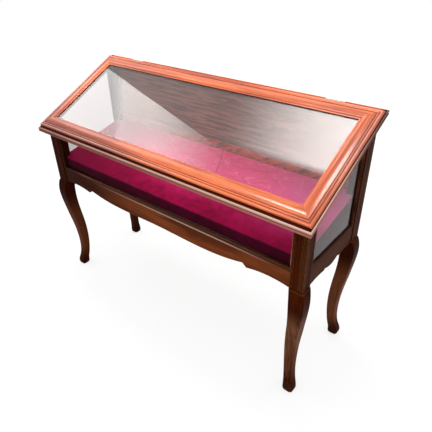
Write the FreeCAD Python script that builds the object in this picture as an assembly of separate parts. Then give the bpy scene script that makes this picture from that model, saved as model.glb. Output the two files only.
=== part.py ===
import FreeCAD, Part
import math
import os
from FreeCAD import Placement, Rotation, Vector

# A sloping-top display table: a glazed case on four cabriole legs, with a hinged, glazed lid
# that slopes down towards the front and a velvet-covered display board inside.
#
# Millimetres, +X to the right, +Y to the back, +Z up. The origin is on the floor, midway
# between the ends and between the front and back edges of the rim. The rim and the lid are
# built in the slope frame: x as above, v up the slope from the top front edge of the posts,
# w square to the slope.

# ---- case and legs ----
CASE_WIDTH = 1100.0          # over the corner posts
CASE_DEPTH = 345.0           # over the corner posts
FRONT_HEIGHT = 645.0         # floor to the top front edge of the front posts
LID_SLOPE = 26.5             # degrees
POST_SIZE = 42.0
LEG_HEIGHT = 420.0           # floor to the underside of the posts
RAIL_TOP = 478.0             # floor to the top edge of the bottom rails

# Outline of a cabriole leg from the floor up: share of the leg's height, bow of its centre
# outwards along X and along Y, side of its square section, radius of the section's corners.
LEG_OUTLINE = [
    (0.000, 3.5, 29.0, 8.0),     # pad on the floor
    (0.012, 3.5, 35.0, 10.0),    # toe
    (0.035, 3.5, 36.5, 10.0),
    (0.065, 2.0, 34.0, 8.0),
    (0.120, -3.0, 30.0, 5.0),
    (0.240, -8.5, 30.0, 4.5),    # ankle
    (0.380, -9.0, 33.5, 4.5),
    (0.550, -3.5, 38.5, 5.0),    # calf
    (0.720, 4.5, 42.5, 5.5),
    (0.870, 8.0, 47.5, 6.0),     # knee
    (0.955, 5.5, 47.5, 5.5),
    (1.000, 1.5, 46.0, 4.5),     # shoulder under the post
]

# ---- reeds worked on the outer faces of the posts ----
REED_RADIUS = 1.5            # hollow between two reeds
REED_PITCH = 4.5
REED_HOLLOWS = 3             # beside the outer arris, on each face
REED_STOP = 9.0              # left plain at the foot of the post
EDGE_BEAD = 5.0              # bead along the inner edge of each outer face

# ---- bottom rails ----
APRON_THICKNESS = 18.0
APRON_SETBACK = 3.0          # behind the outer faces of the posts
APRON_END = 57.0             # depth of the lower edge below the rail's top at the posts
FRONT_CUSP_FROM_POST = 144.0
FRONT_NOTCH_WIDTH = 14.0
FRONT_SHOULDER_WIDTH = 52.0
SIDE_CUSP_FROM_POST = 84.0
SIDE_NOTCH_WIDTH = 8.0
SIDE_SHOULDER_WIDTH = 14.0

# Depth of the shaped lower edge below the rail's top: at the top of the small arch beside
# the post, at the cusp, at the notch beside it, at the shoulder and in the middle.
FRONT_RAIL_DEPTHS = (50.0, 59.0, 47.0, 57.0, 62.0)
SIDE_RAIL_DEPTHS = (54.0, 58.0, 54.0, 59.0, 63.0)

# ---- tenons of the rails ----
TENON_LENGTH = 18.0
TENON_THICKNESS = 8.0
TENON_SHOULDER = 7.0         # wood left above a tenon
TENON_HEIGHT = 34.0

# ---- back ----
BACK_RAIL_THICKNESS = 14.0
BACK_RAIL_SETBACK = 2.0
BACK_TOP_RAIL_DEPTH = 36.0
BACK_TENON_THICKNESS = 6.0
BACK_TENON_HEIGHT = 18.0
BACK_PANEL_THICKNESS = 4.0
BACK_PANEL_GROOVE = 6.0      # depth of the panel's grooves in the posts
STRIP_THICKNESS = 6.0        # retaining strip over the back edge of the display board
STRIP_HEIGHT = 30.0
STRIP_SCREW_FROM_END = 112.0
STRIP_SCREWS = 5

# ---- glazing of the front and the two sides ----
GLASS_THICKNESS = 3.0
GLASS_SETBACK = 10.0         # face of the glass behind the outer face of the posts
GLASS_CLEARANCE = 0.5        # between the edge of a pane and its opening
BEAD_WIDTH = 6.0
OUTER_BEAD_DEPTH = 6.0
BEAD_ROUNDING = 4.0

# ---- case floor ----
FLOOR_DROP = 20.0            # floor's upper face below the rail's top
FLOOR_THICKNESS = 6.0
BATTEN_SIZE = 16.0
CORNER_BLOCK_LEG = 66.0
CORNER_BLOCK_HEIGHT = 26.0
FLOOR_SCREW_SPACING = 300.0
FIT = 0.5                    # joiner's clearance round loose boards

# ---- display board and its velvet ----
BOARD_FRONT_HEIGHT = 518.0   # top of the velvet at its front edge
BOARD_SLOPE = 12.6           # degrees
BOARD_THICKNESS = 6.0
VELVET_THICKNESS = 2.0
RISER_THICKNESS = 9.0
BEARER_THICKNESS = 12.0
BEARER_SPACING = 340.0

# ---- rim moulding on top of the case ----
RIM_WIDTH = 50.0             # widths and overhangs as seen from above
RIM_SIDE_OVERHANG = 19.5
RIM_FRONT_OVERHANG = 30.0
RIM_BACK_OVERHANG = 10.5
RIM_THICKNESS = 10.0         # square to the slope
RIM_REED_HEIGHT = 7.6        # two upright reeds, one above the other, along its edge
RIM_REED_SWELL = 3.0
RIM_LIP_WIDTH = 8.0          # part behind the reeds that hangs as low as they do
RIM_CHANNEL_START = 4.2      # sunk channel between the upper reed and the lid
RIM_CHANNEL_WIDTH = 6.5
RIM_CHANNEL_DEPTH = 1.8

# ---- lid ----
LID_SIDE_OVERHANG = 14.0     # beyond the posts
LID_FRONT_OVERHANG = 16.5    # along the slope, beyond the top front edge of the posts
LID_BACK_OVERHANG = 2.5      # along the slope
LID_WIDTH = 50.0             # width of the frame members
LID_EDGE = 9.0               # height at the outer edge
LID_EDGE_RADIUS = 4.0
LID_UNDERCUT_WIDTH = 5.0
LID_UNDERCUT_HEIGHT = 2.5
LID_QUIRK_START = 8.0        # first of the two sunk lines, from the outer edge
LID_QUIRK_WIDTH = 1.2
LID_QUIRK_DEPTH = 0.8
LID_REED_RADIUS = 3.0        # half-round between the two sunk lines
LID_BAND_FOOT = 10.0         # height of the raised band at its outer edge,
LID_CREST = 15.0             # and at its crest
LID_BAND_BULGE = 1.4
LID_CREST_FROM_SIGHT = 11.0
LID_BEVEL_FROM_SIGHT = 3.5
LID_BEVEL_BULGE = 1.0
LID_LIP = 10.0               # height at the sight edge
LID_LIP_THICKNESS = 3.0      # wood over the edge of the glass
LID_REBATE_WIDTH = 8.0
LID_BEAD_WIDTH = 7.0
LID_BEAD_HEIGHT = 3.4
LID_GLASS_THICKNESS = 3.0
LID_GLASS_CLEARANCE = 1.0
LID_BEAD_ROUNDING = 2.0

# ---- hinges ----
HINGE_LENGTH = 60.0
HINGE_FROM_END = 150.0       # middle of a hinge from the end of the lid
HINGE_SEGMENTS = 5
KNUCKLE_RADIUS = 3.5
KNUCKLE_GAP = 0.5            # knuckles behind the lid's back edge
LEAF_WIDTH = 24.0
LEAF_THICKNESS = 2.0
PIN_RADIUS = 1.5
PIN_CLEARANCE = 0.05
PIN_HEAD_RADIUS = 2.4
PIN_HEAD_LENGTH = 1.0
RUNNING_GAP = 0.3            # between parts that turn past each other
SCREW_FROM_PIN = 14.0
SCREW_PITCH = 22.0

# ---- wood screws ----
SCREW_HEAD_RADIUS = 3.0
SCREW_HEAD_HEIGHT = 1.6
SCREW_RADIUS = 1.4
SCREW_SLOT_WIDTH = 0.8
SCREW_SLOT_DEPTH = 0.6
SCREW_CLEARANCE = 0.05
HINGE_SCREW_CASE_LENGTH = 14.0
HINGE_SCREW_LID_LENGTH = 8.0
FLOOR_SCREW_LENGTH = 16.0
STRIP_SCREW_LENGTH = 9.0

# ---- worked out from the sizes above ----
SLOPE = math.radians(LID_SLOPE)
HALF_WIDTH = CASE_WIDTH / 2
FRONT_Y = -CASE_DEPTH / 2 + (RIM_FRONT_OVERHANG - RIM_BACK_OVERHANG) / 2
BACK_Y = FRONT_Y + CASE_DEPTH
POST_INNER_X = HALF_WIDTH - POST_SIZE
POST_INNER_FRONT_Y = FRONT_Y + POST_SIZE
POST_INNER_BACK_Y = BACK_Y - POST_SIZE
SLOPE_LENGTH = CASE_DEPTH / math.cos(SLOPE)
BACK_HEIGHT = FRONT_HEIGHT + CASE_DEPTH * math.tan(SLOPE)
APRON_INNER = APRON_SETBACK + APRON_THICKNESS
BACK_RAIL_INNER_Y = BACK_Y - BACK_RAIL_SETBACK - BACK_RAIL_THICKNESS
PANEL_INNER_Y = BACK_RAIL_INNER_Y - BACK_PANEL_THICKNESS
STRIP_FACE_Y = PANEL_INNER_Y - STRIP_THICKNESS
GLASS_BACK = GLASS_SETBACK + GLASS_THICKNESS
FLOOR_TOP = RAIL_TOP - FLOOR_DROP
FLOOR_BOTTOM = FLOOR_TOP - FLOOR_THICKNESS
BOARD_FRONT_Y = FRONT_Y + APRON_INNER + FIT
BOARD_BACK_Y = PANEL_INNER_Y
BOARD_HALF_WIDTH = HALF_WIDTH - APRON_INNER - FIT
BOARD_GRADIENT = math.tan(math.radians(BOARD_SLOPE))
VELVET_DROP = VELVET_THICKNESS / math.cos(math.radians(BOARD_SLOPE))
BOARD_DROP = VELVET_DROP + BOARD_THICKNESS / math.cos(math.radians(BOARD_SLOPE))
RIM_HALF_WIDTH = HALF_WIDTH + RIM_SIDE_OVERHANG
RIM_FRONT_Y = FRONT_Y - RIM_FRONT_OVERHANG
RIM_BACK_Y = BACK_Y + RIM_BACK_OVERHANG
RIM_TOP = RIM_THICKNESS / math.cos(SLOPE)
RIM_FOOT = RIM_TOP - 2 * RIM_REED_HEIGHT
LID_HALF_WIDTH = HALF_WIDTH + LID_SIDE_OVERHANG
LID_FRONT_V = -LID_FRONT_OVERHANG
LID_BACK_V = SLOPE_LENGTH + LID_BACK_OVERHANG
LID_REBATE_EDGE = LID_WIDTH - LID_REBATE_WIDTH
LID_GLASS_W = RIM_THICKNESS + LID_LIP - LID_LIP_THICKNESS - LID_GLASS_THICKNESS
PIN_V = LID_BACK_V + KNUCKLE_RADIUS + KNUCKLE_GAP
HINGE_X = LID_HALF_WIDTH - HINGE_FROM_END
BEYOND = CASE_WIDTH          # reach of cutting blocks past the table
SLOPE_PLACE = Placement(Vector(0, FRONT_Y, FRONT_HEIGHT), Rotation(Vector(1, 0, 0), LID_SLOPE))


# ---- helpers ----
def span(a, b):
    """The two numbers, the smaller first."""
    return (min(a, b), max(a, b))


def box(x, y, z):
    """A block between the two ends of each range."""
    return Part.makeBox(x[1] - x[0], y[1] - y[0], z[1] - z[0], Vector(x[0], y[0], z[0]))


def rod(radius, start, end):
    """A round bar from one point to another."""
    run = end - start
    return Part.makeCylinder(radius, run.Length, start, run)


def plate(points, run):
    """A flat polygon pushed along a vector."""
    return Part.Face(Part.makePolygon(points + [points[0]])).extrude(run)


def x_plate(outline, x):
    """A (y, z) polygon pushed along X between the two ends of a range."""
    return plate([Vector(x[0], a, b) for a, b in outline], Vector(x[1] - x[0], 0, 0))


def on_slope(shape):
    """Puts a shape that was built in the slope frame in its place on the case."""
    placed = shape.copy()
    placed.Placement = SLOPE_PLACE.multiply(placed.Placement)
    return placed


def slope_height(y):
    """Height of the plane that the rim rests on."""
    return FRONT_HEIGHT + (y - FRONT_Y) * math.tan(SLOPE)


def under_rim(shape):
    """Cuts a shape off at the plane that the rim rests on."""
    reach = (-BEYOND, BEYOND)
    return shape.cut(on_slope(box(reach, reach, (0, BEYOND))))


def board_height(y, drop=0.0):
    """Height of the velvet's upper face, or of a face that lies under it by the drop."""
    return BOARD_FRONT_HEIGHT + (y - BOARD_FRONT_Y) * BOARD_GRADIENT - drop


def inset(corners, distance):
    """A polygon given anticlockwise, with each side moved inwards by the distance."""
    moved = []
    for i, corner in enumerate(corners):
        before = Vector(*corner, 0) - Vector(*corners[i - 1], 0)
        after = Vector(*corners[(i + 1) % len(corners)], 0) - Vector(*corner, 0)
        before.normalize()
        after.normalize()
        bisector = Vector(-before.y - after.y, before.x + after.x, 0)
        bisector.normalize()
        reach = distance / (bisector.x * -after.y + bisector.y * after.x)
        moved.append((corner[0] + bisector.x * reach, corner[1] + bisector.y * reach))
    return moved


def mitred_strips(corners, width):
    """The outlines of the mitred strips of a frame: outer edge first, then inner edge."""
    inner = inset(corners, width)
    count = len(corners)
    following = [(i + 1) % count for i in range(count)]
    return [[corners[i], corners[j], inner[j], inner[i]] for i, j in enumerate(following)]


def rectangle(x, y):
    """The corners of a rectangle, anticlockwise."""
    return [(x[0], y[0]), (x[1], y[0]), (x[1], y[1]), (x[0], y[1])]


def round_edge(solid, start, end, radius):
    """Rounds the straight edge of a solid that joins two points."""
    edges = [e for e in solid.Edges if len(e.Vertexes) == 2 and joins(e, start, end)]
    return solid.makeFillet(radius, edges)


def joins(edge, start, end):
    """True if an edge runs from one point to the other, either way round."""
    ends = [v.Point for v in edge.Vertexes]
    near = 1e-4
    return any(
        a.distanceToPoint(start) < near and b.distanceToPoint(end) < near
        for a, b in (ends, ends[::-1])
    )


def glazing_beads(corners, width, depths, place, rounding):
    """Four mitred beads round an opening. place(a, b, depth) gives a point in the case.

    depths runs from the face that lies on the glass to the face that shows."""
    beads = []
    for outline in mitred_strips(corners, width):
        run = place(0, 0, depths[1]) - place(0, 0, depths[0])
        bead = plate([place(a, b, depths[0]) for a, b in outline], run)
        shown = [place(a, b, depths[1]) for a, b in outline[2:]]
        beads.append(round_edge(bead, shown[0], shown[1], rounding))
    return beads


def screw(head, direction, length, grow=0.0):
    """A slotted countersunk wood screw with the middle of its head's face at a point.

    grow makes it larger all round, for the hole that it sits in."""
    point = Vector(head)
    way = Vector(direction)
    way.normalize()
    cone = Part.makeCone(
        SCREW_HEAD_RADIUS + grow, SCREW_RADIUS + grow, SCREW_HEAD_HEIGHT, point, way
    )
    shank = Part.makeCylinder(SCREW_RADIUS + grow, length + grow, point, way)
    body = cone.fuse(shank)
    if grow > 0:
        return body
    slot = Part.makeBox(
        SCREW_SLOT_WIDTH, 2 * SCREW_HEAD_RADIUS, 2 * SCREW_SLOT_DEPTH,
        Vector(-SCREW_SLOT_WIDTH / 2, -SCREW_HEAD_RADIUS, -SCREW_SLOT_DEPTH),
    )
    slot.Placement = Placement(point, Rotation(Vector(0, 0, 1), way))
    return body.cut(slot)


def group(solids):
    """Several separate solids of one kind."""
    return Part.makeCompound(solids)


# ---- legs ----
def square_section(x, y, z, side, radius):
    """A square with rounded corners, centred on a point and lying flat."""
    half = side / 2
    flat = half - radius
    bulge = flat + radius * math.sqrt(0.5)
    edges = []
    for quarter in range(4):
        turn = Rotation(Vector(0, 0, 1), 90 * quarter)
        points = [(half, -flat), (half, flat), (bulge, bulge), (flat, half)]
        a, b, c, d = [Vector(x, y, z) + turn.multVec(Vector(*p, 0)) for p in points]
        edges.append(Part.LineSegment(a, b).toShape())
        edges.append(Part.Arc(b, c, d).toShape())
    return Part.Wire(edges)


def cabriole(x, y, side, end):
    """The curved leg under a post whose centre is at x, y, bowed towards its corner."""
    sections = [
        square_section(x + side * bow, y + end * bow, share * LEG_HEIGHT, width, radius)
        for share, bow, width, radius in LEG_OUTLINE
    ]
    return Part.makeLoft(sections, True, False)


def reed_hollows(outer_x, outer_y, side, end):
    """The hollows between the reeds and beads on a post's two outer faces."""
    distances = [REED_PITCH * (i + 1) for i in range(REED_HOLLOWS)] + [POST_SIZE - EDGE_BEAD]
    bottom = LEG_HEIGHT + REED_STOP
    hollows = []
    for d in distances:
        for x, y in ((outer_x - side * d, outer_y), (outer_x, outer_y - end * d)):
            hollows.append(rod(REED_RADIUS, Vector(x, y, bottom), Vector(x, y, BACK_HEIGHT)))
    return hollows


def leg(side, end):
    """A corner post with its cabriole leg. side is -1 left or 1 right, end -1 front or 1 back."""
    outer_x = side * HALF_WIDTH
    outer_y = FRONT_Y if end < 0 else BACK_Y
    x = span(outer_x, outer_x - side * POST_SIZE)
    y = span(outer_y, outer_y - end * POST_SIZE)
    post = under_rim(box(x, y, (LEG_HEIGHT, BACK_HEIGHT + POST_SIZE)))
    body = post.fuse(cabriole(sum(x) / 2, sum(y) / 2, side, end))
    body = body.cut(reed_hollows(outer_x, outer_y, side, end))
    body = body.cut(side_tenon(side, end))
    if end < 0:
        return body.cut(front_tenon(side))
    tongue_x = span(side * POST_INNER_X, side * (POST_INNER_X + BACK_PANEL_GROOVE))
    tongue = box(tongue_x, (PANEL_INNER_Y, BACK_RAIL_INNER_Y), (FLOOR_TOP, BACK_HEIGHT))
    return body.cut([back_tenon(side), back_top_tenon(side), tongue])


# ---- bottom rails ----
def tenon_heights():
    """Bottom and top of the tenons of the bottom rails."""
    top = RAIL_TOP - TENON_SHOULDER
    return (top - TENON_HEIGHT, top)


def front_tenon(side):
    """The tenon of the front rail that enters the left or right front post."""
    middle = FRONT_Y + APRON_SETBACK + APRON_THICKNESS / 2
    y = (middle - TENON_THICKNESS / 2, middle + TENON_THICKNESS / 2)
    return box(span(side * POST_INNER_X, side * (POST_INNER_X + TENON_LENGTH)), y, tenon_heights())


def side_tenon(side, end):
    """The tenon of a side rail that enters its front or back post."""
    middle = side * (HALF_WIDTH - APRON_SETBACK - APRON_THICKNESS / 2)
    x = (middle - TENON_THICKNESS / 2, middle + TENON_THICKNESS / 2)
    start = POST_INNER_FRONT_Y if end < 0 else POST_INNER_BACK_Y
    return box(x, span(start, start + end * TENON_LENGTH), tenon_heights())


def back_rail_tenon(side, heights):
    """A tenon of a back rail that enters its left or right post."""
    middle = BACK_RAIL_INNER_Y + BACK_RAIL_THICKNESS / 2
    y = (middle - BACK_TENON_THICKNESS / 2, middle + BACK_TENON_THICKNESS / 2)
    return box(span(side * POST_INNER_X, side * (POST_INNER_X + TENON_LENGTH)), y, heights)


def back_tenon(side):
    """The tenon of the bottom back rail."""
    return back_rail_tenon(side, tenon_heights())


def back_top_tenon(side):
    """The tenon of the top back rail."""
    top = slope_height(BACK_RAIL_INNER_Y) - TENON_SHOULDER
    return back_rail_tenon(side, (top - BACK_TENON_HEIGHT, top))


def shaped_rail(half, cusp_from_post, notch_width, shoulder_width, depths):
    """A rail centred on X = 0 with its outer face at Y = 0 and its lower edge shaped."""
    arch_depth, cusp_depth, notch_depth, shoulder_depth, middle_depth = depths
    cusp = half - cusp_from_post
    notch = cusp - notch_width
    shoulder = notch - shoulder_width

    def point(x, depth):
        return Vector(x, 0, RAIL_TOP - depth)

    belly = Part.BSplineCurve()
    belly.interpolate([
        point(-notch, notch_depth), point(-shoulder, shoulder_depth), point(0, middle_depth),
        point(shoulder, shoulder_depth), point(notch, notch_depth),
    ])
    arch = (half + cusp) / 2
    edges = [
        Part.LineSegment(point(-half, APRON_END), point(-half, 0)),
        Part.LineSegment(point(-half, 0), point(half, 0)),
        Part.LineSegment(point(half, 0), point(half, APRON_END)),
        Part.Arc(point(half, APRON_END), point(arch, arch_depth), point(cusp, cusp_depth)),
        Part.LineSegment(point(cusp, cusp_depth), point(notch, notch_depth)),
        belly,
        Part.LineSegment(point(-notch, notch_depth), point(-cusp, cusp_depth)),
        Part.Arc(point(-cusp, cusp_depth), point(-arch, arch_depth), point(-half, APRON_END)),
    ]
    outline = Part.Wire([e.toShape() for e in edges])
    return Part.Face(outline).extrude(Vector(0, APRON_THICKNESS, 0))


def apron_front():
    """The shaped front rail with its two tenons."""
    rail = shaped_rail(
        POST_INNER_X, FRONT_CUSP_FROM_POST, FRONT_NOTCH_WIDTH, FRONT_SHOULDER_WIDTH,
        FRONT_RAIL_DEPTHS,
    )
    rail.translate(Vector(0, FRONT_Y + APRON_SETBACK, 0))
    return rail.fuse([front_tenon(-1), front_tenon(1)])


def apron_side(side):
    """A shaped side rail with its two tenons."""
    half = (POST_INNER_BACK_Y - POST_INNER_FRONT_Y) / 2
    rail = shaped_rail(
        half, SIDE_CUSP_FROM_POST, SIDE_NOTCH_WIDTH, SIDE_SHOULDER_WIDTH, SIDE_RAIL_DEPTHS
    )
    rail.rotate(Vector(0, 0, 0), Vector(0, 0, 1), 90 * side)
    middle = (POST_INNER_BACK_Y + POST_INNER_FRONT_Y) / 2
    rail.translate(Vector(side * (HALF_WIDTH - APRON_SETBACK), middle, 0))
    return rail.fuse([side_tenon(side, -1), side_tenon(side, 1)])


def apron_back():
    """The straight bottom back rail with its two tenons."""
    rail = box(
        (-POST_INNER_X, POST_INNER_X),
        (BACK_RAIL_INNER_Y, BACK_RAIL_INNER_Y + BACK_RAIL_THICKNESS),
        (RAIL_TOP - APRON_END, RAIL_TOP),
    )
    return rail.fuse([back_tenon(-1), back_tenon(1)])


# ---- back ----
def back_top_rail():
    """The top back rail, which carries the hinged edge of the rim."""
    rail = under_rim(box(
        (-POST_INNER_X, POST_INNER_X),
        (BACK_RAIL_INNER_Y, BACK_RAIL_INNER_Y + BACK_RAIL_THICKNESS),
        (slope_height(BACK_RAIL_INNER_Y) - BACK_TOP_RAIL_DEPTH, BACK_HEIGHT),
    ))
    rail = rail.fuse([back_top_tenon(-1), back_top_tenon(1)])
    return rail.cut(hinge_screw_holes(case=True))


def back_panel():
    """The thin back, in the grooves of the posts and on the inner faces of the rails."""
    half = POST_INNER_X + BACK_PANEL_GROOVE
    panel = under_rim(box(
        (-half, half), (PANEL_INNER_Y, BACK_RAIL_INNER_Y), (FLOOR_TOP, BACK_HEIGHT)
    ))
    return panel.cut(strip_screws(SCREW_CLEARANCE))


def retaining_strip():
    """The strip on the back panel over the back edge of the display board."""
    outline = [
        (STRIP_FACE_Y, board_height(STRIP_FACE_Y)),
        (PANEL_INNER_Y, board_height(PANEL_INNER_Y)),
        (PANEL_INNER_Y, board_height(STRIP_FACE_Y) + STRIP_HEIGHT),
        (STRIP_FACE_Y, board_height(STRIP_FACE_Y) + STRIP_HEIGHT),
    ]
    strip = x_plate(outline, (-POST_INNER_X + FIT, POST_INNER_X - FIT))
    return strip.cut(strip_screws(SCREW_CLEARANCE))


def strip_screws(grow=0.0):
    """The screws that hold the retaining strip, or their holes."""
    height = board_height(STRIP_FACE_Y) + STRIP_HEIGHT / 2
    end = POST_INNER_X - STRIP_SCREW_FROM_END
    spacing = 2 * end / (STRIP_SCREWS - 1)
    heads = [Vector(i * spacing - end, STRIP_FACE_Y, height) for i in range(STRIP_SCREWS)]
    return [screw(h, Vector(0, 1, 0), STRIP_SCREW_LENGTH, grow) for h in heads]


# ---- glazing ----
def front_place(a, b, depth):
    """A point of the front opening: a along X, b up, depth behind the front of the posts."""
    return Vector(a, FRONT_Y + depth, b)


def left_place(a, b, depth):
    """A point of the left opening: a along Y, b up, depth inside the posts' left faces."""
    return Vector(-HALF_WIDTH + depth, a, b)


def right_place(a, b, depth):
    """A point of the right opening: a along Y, b up, depth inside the posts' right faces."""
    return Vector(HALF_WIDTH - depth, a, b)


def front_opening(depth):
    """The corners of the front opening, as high as the rim lies at that depth."""
    top = slope_height(FRONT_Y + depth)
    return rectangle((-POST_INNER_X, POST_INNER_X), (RAIL_TOP, top))


def side_opening(depth):
    """The corners of a side opening, whose top follows the rim. It is the same at any depth."""
    front, back = POST_INNER_FRONT_Y, POST_INNER_BACK_Y
    tops = (slope_height(back), slope_height(front))
    return [(front, RAIL_TOP), (back, RAIL_TOP), (back, tops[0]), (front, tops[1])]


def pane(opening, place):
    """A pane of glass in its opening."""
    corners = inset(opening(GLASS_SETBACK), GLASS_CLEARANCE)
    run = place(0, 0, GLASS_BACK) - place(0, 0, GLASS_SETBACK)
    return plate([place(a, b, GLASS_SETBACK) for a, b in corners], run)


def outer_beads(opening, place):
    """The beads outside a pane, with their rounded edges to the outside."""
    face = GLASS_SETBACK - OUTER_BEAD_DEPTH
    depths = (GLASS_SETBACK, face)
    return group(glazing_beads(opening(face), BEAD_WIDTH, depths, place, BEAD_ROUNDING))


def inner_beads(opening, place):
    """The beads that hold a pane from inside the case, flush with the rail below."""
    depths = (GLASS_BACK, APRON_INNER)
    return group(glazing_beads(opening(GLASS_BACK), BEAD_WIDTH, depths, place, BEAD_ROUNDING))


# ---- case floor ----
def post_notches(shape, clearance):
    """Cuts a board clear of the four posts."""
    height = (0, BACK_HEIGHT + POST_SIZE)
    notches = []
    for side in (-1, 1):
        x = span(side * (POST_INNER_X - clearance), side * HALF_WIDTH)
        notches.append(box(x, (FRONT_Y, POST_INNER_FRONT_Y + clearance), height))
        notches.append(box(x, (POST_INNER_BACK_Y - clearance, BACK_Y), height))
    return shape.cut(notches)


def case_floor():
    """The thin board that closes the case below, notched round the posts."""
    half = HALF_WIDTH - APRON_INNER - FIT
    y = (FRONT_Y + APRON_INNER + FIT, BACK_RAIL_INNER_Y - FIT)
    board = post_notches(box((-half, half), y, (FLOOR_BOTTOM, FLOOR_TOP)), FIT)
    return board.cut(floor_screws(SCREW_CLEARANCE))


def batten_lines():
    """The middle lines of the front and back floor battens."""
    front = FRONT_Y + APRON_INNER + BATTEN_SIZE / 2
    back = BACK_RAIL_INNER_Y - BATTEN_SIZE / 2
    return front, back


def floor_battens():
    """The battens on the inner faces of the rails, which carry the case floor."""
    reach = HALF_WIDTH - APRON_INNER - CORNER_BLOCK_LEG - FIT
    z = (FLOOR_BOTTOM - BATTEN_SIZE, FLOOR_BOTTOM)
    battens = []
    for y in batten_lines():
        battens.append(box((-reach, reach), (y - BATTEN_SIZE / 2, y + BATTEN_SIZE / 2), z))
    block = CORNER_BLOCK_LEG + FIT
    side_y = (FRONT_Y + APRON_INNER + block, BACK_RAIL_INNER_Y - block)
    for side in (-1, 1):
        face = side * (HALF_WIDTH - APRON_INNER)
        battens.append(box(span(face, face - side * BATTEN_SIZE), side_y, z))
    holes = floor_screws(SCREW_CLEARANCE)
    return group([b.cut(holes) for b in battens[:2]] + battens[2:])


def floor_screws(grow=0.0):
    """The screws that hold the floor to the front and back battens, or their holes."""
    places = [i * FLOOR_SCREW_SPACING for i in (-1, 0, 1)]
    return [
        screw(Vector(x, y, FLOOR_TOP), Vector(0, 0, -1), FLOOR_SCREW_LENGTH, grow)
        for x in places for y in batten_lines()
    ]


def corner_block(side, end):
    """A glue block behind a post, against the inner faces of its two rails."""
    def at(across, along):
        x = side * (HALF_WIDTH - across)
        y = FRONT_Y + along if end < 0 else BACK_Y - along
        return Vector(x, y, FLOOR_BOTTOM - CORNER_BLOCK_HEIGHT)

    rail = APRON_INNER if end < 0 else BACK_Y - BACK_RAIL_INNER_Y
    points = [
        at(POST_SIZE, rail), at(CORNER_BLOCK_LEG + APRON_INNER, rail),
        at(APRON_INNER, CORNER_BLOCK_LEG + rail), at(APRON_INNER, POST_SIZE),
        at(POST_SIZE, POST_SIZE),
    ]
    return plate(points, Vector(0, 0, CORNER_BLOCK_HEIGHT))


def corner_blocks():
    """The four glue blocks under the case floor."""
    return group([corner_block(side, end) for side in (-1, 1) for end in (-1, 1)])


# ---- display board ----
def wedge(y, drop, bottom=FLOOR_TOP):
    """The (y, z) outline of an upright piece that ends under the velvet by the drop."""
    return [
        (y[0], bottom), (y[1], bottom),
        (y[1], board_height(y[1], drop)), (y[0], board_height(y[0], drop)),
    ]


def raked_board(y, half_width, drops):
    """A board parallel to the velvet's upper face, notched round the posts."""
    outline = [
        (y[0], board_height(y[0], drops[1])), (y[1], board_height(y[1], drops[1])),
        (y[1], board_height(y[1], drops[0])), (y[0], board_height(y[0], drops[0])),
    ]
    return post_notches(x_plate(outline, (-half_width, half_width)), FIT)


def display_board():
    """The raked plywood board that the goods lie on."""
    y = (BOARD_FRONT_Y + VELVET_THICKNESS, BOARD_BACK_Y)
    return raked_board(y, BOARD_HALF_WIDTH - VELVET_THICKNESS, (VELVET_DROP, BOARD_DROP))


def side_riser_y():
    """Front and back ends of the side risers, between the posts."""
    return (POST_INNER_FRONT_Y + FIT, POST_INNER_BACK_Y - FIT)


def velvet_cover():
    """The velvet over the display board and down its front and sides."""
    top = raked_board((BOARD_FRONT_Y, BOARD_BACK_Y), BOARD_HALF_WIDTH, (0.0, VELVET_DROP))
    front_y = (BOARD_FRONT_Y, BOARD_FRONT_Y + VELVET_THICKNESS)
    half = POST_INNER_X - FIT
    skirts = [x_plate(wedge(front_y, VELVET_DROP), (-half, half))]
    for side in (-1, 1):
        x = span(side * BOARD_HALF_WIDTH, side * (BOARD_HALF_WIDTH - VELVET_THICKNESS))
        skirts.append(x_plate(wedge(side_riser_y(), VELVET_DROP), x))
    return top.fuse(skirts)


def riser_front():
    """The upright board under the front edge of the display board."""
    start = BOARD_FRONT_Y + VELVET_THICKNESS
    half = POST_INNER_X - FIT
    return x_plate(wedge((start, start + RISER_THICKNESS), BOARD_DROP), (-half, half))


def riser_side(side):
    """The upright board under the left or right edge of the display board."""
    face = BOARD_HALF_WIDTH - VELVET_THICKNESS
    x = span(side * face, side * (face - RISER_THICKNESS))
    return x_plate(wedge(side_riser_y(), BOARD_DROP), x)


def board_bearers():
    """The wedge-shaped bearers under the middle of the display board."""
    y = (BOARD_FRONT_Y + VELVET_THICKNESS + RISER_THICKNESS, BOARD_BACK_Y)
    bearers = []
    for side in (-1, 1):
        middle = side * BEARER_SPACING / 2
        x = (middle - BEARER_THICKNESS / 2, middle + BEARER_THICKNESS / 2)
        bearers.append(x_plate(wedge(y, BOARD_DROP), x))
    return group(bearers)


# ---- mouldings of the rim and the lid ----
# A section is a list of (t, w, bulge), clockwise: t is the distance from the moulding's outer
# edge, w its height, and bulge is how far the stretch that ends there swells out. The rim's
# section stands upright, and the lid's is square to the slope.
def rim_section():
    """Two upright reeds, then a sunk channel up to the edge of the lid."""
    swell = RIM_REED_SWELL
    channel_end = RIM_CHANNEL_START + RIM_CHANNEL_WIDTH
    sunk = RIM_TOP - RIM_CHANNEL_DEPTH
    return [
        (swell, RIM_FOOT, 0),
        (swell, RIM_FOOT + RIM_REED_HEIGHT, swell),
        (swell, RIM_TOP, swell),
        (RIM_CHANNEL_START, RIM_TOP, 0),
        (RIM_CHANNEL_START, sunk, 0),
        (channel_end, sunk, 0),
        (channel_end, RIM_TOP, 0),
        (RIM_WIDTH, RIM_TOP, 0),
        (RIM_WIDTH, 0, 0),
        (RIM_LIP_WIDTH, 0, 0),
        (RIM_LIP_WIDTH, RIM_FOOT, 0),
    ]


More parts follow.
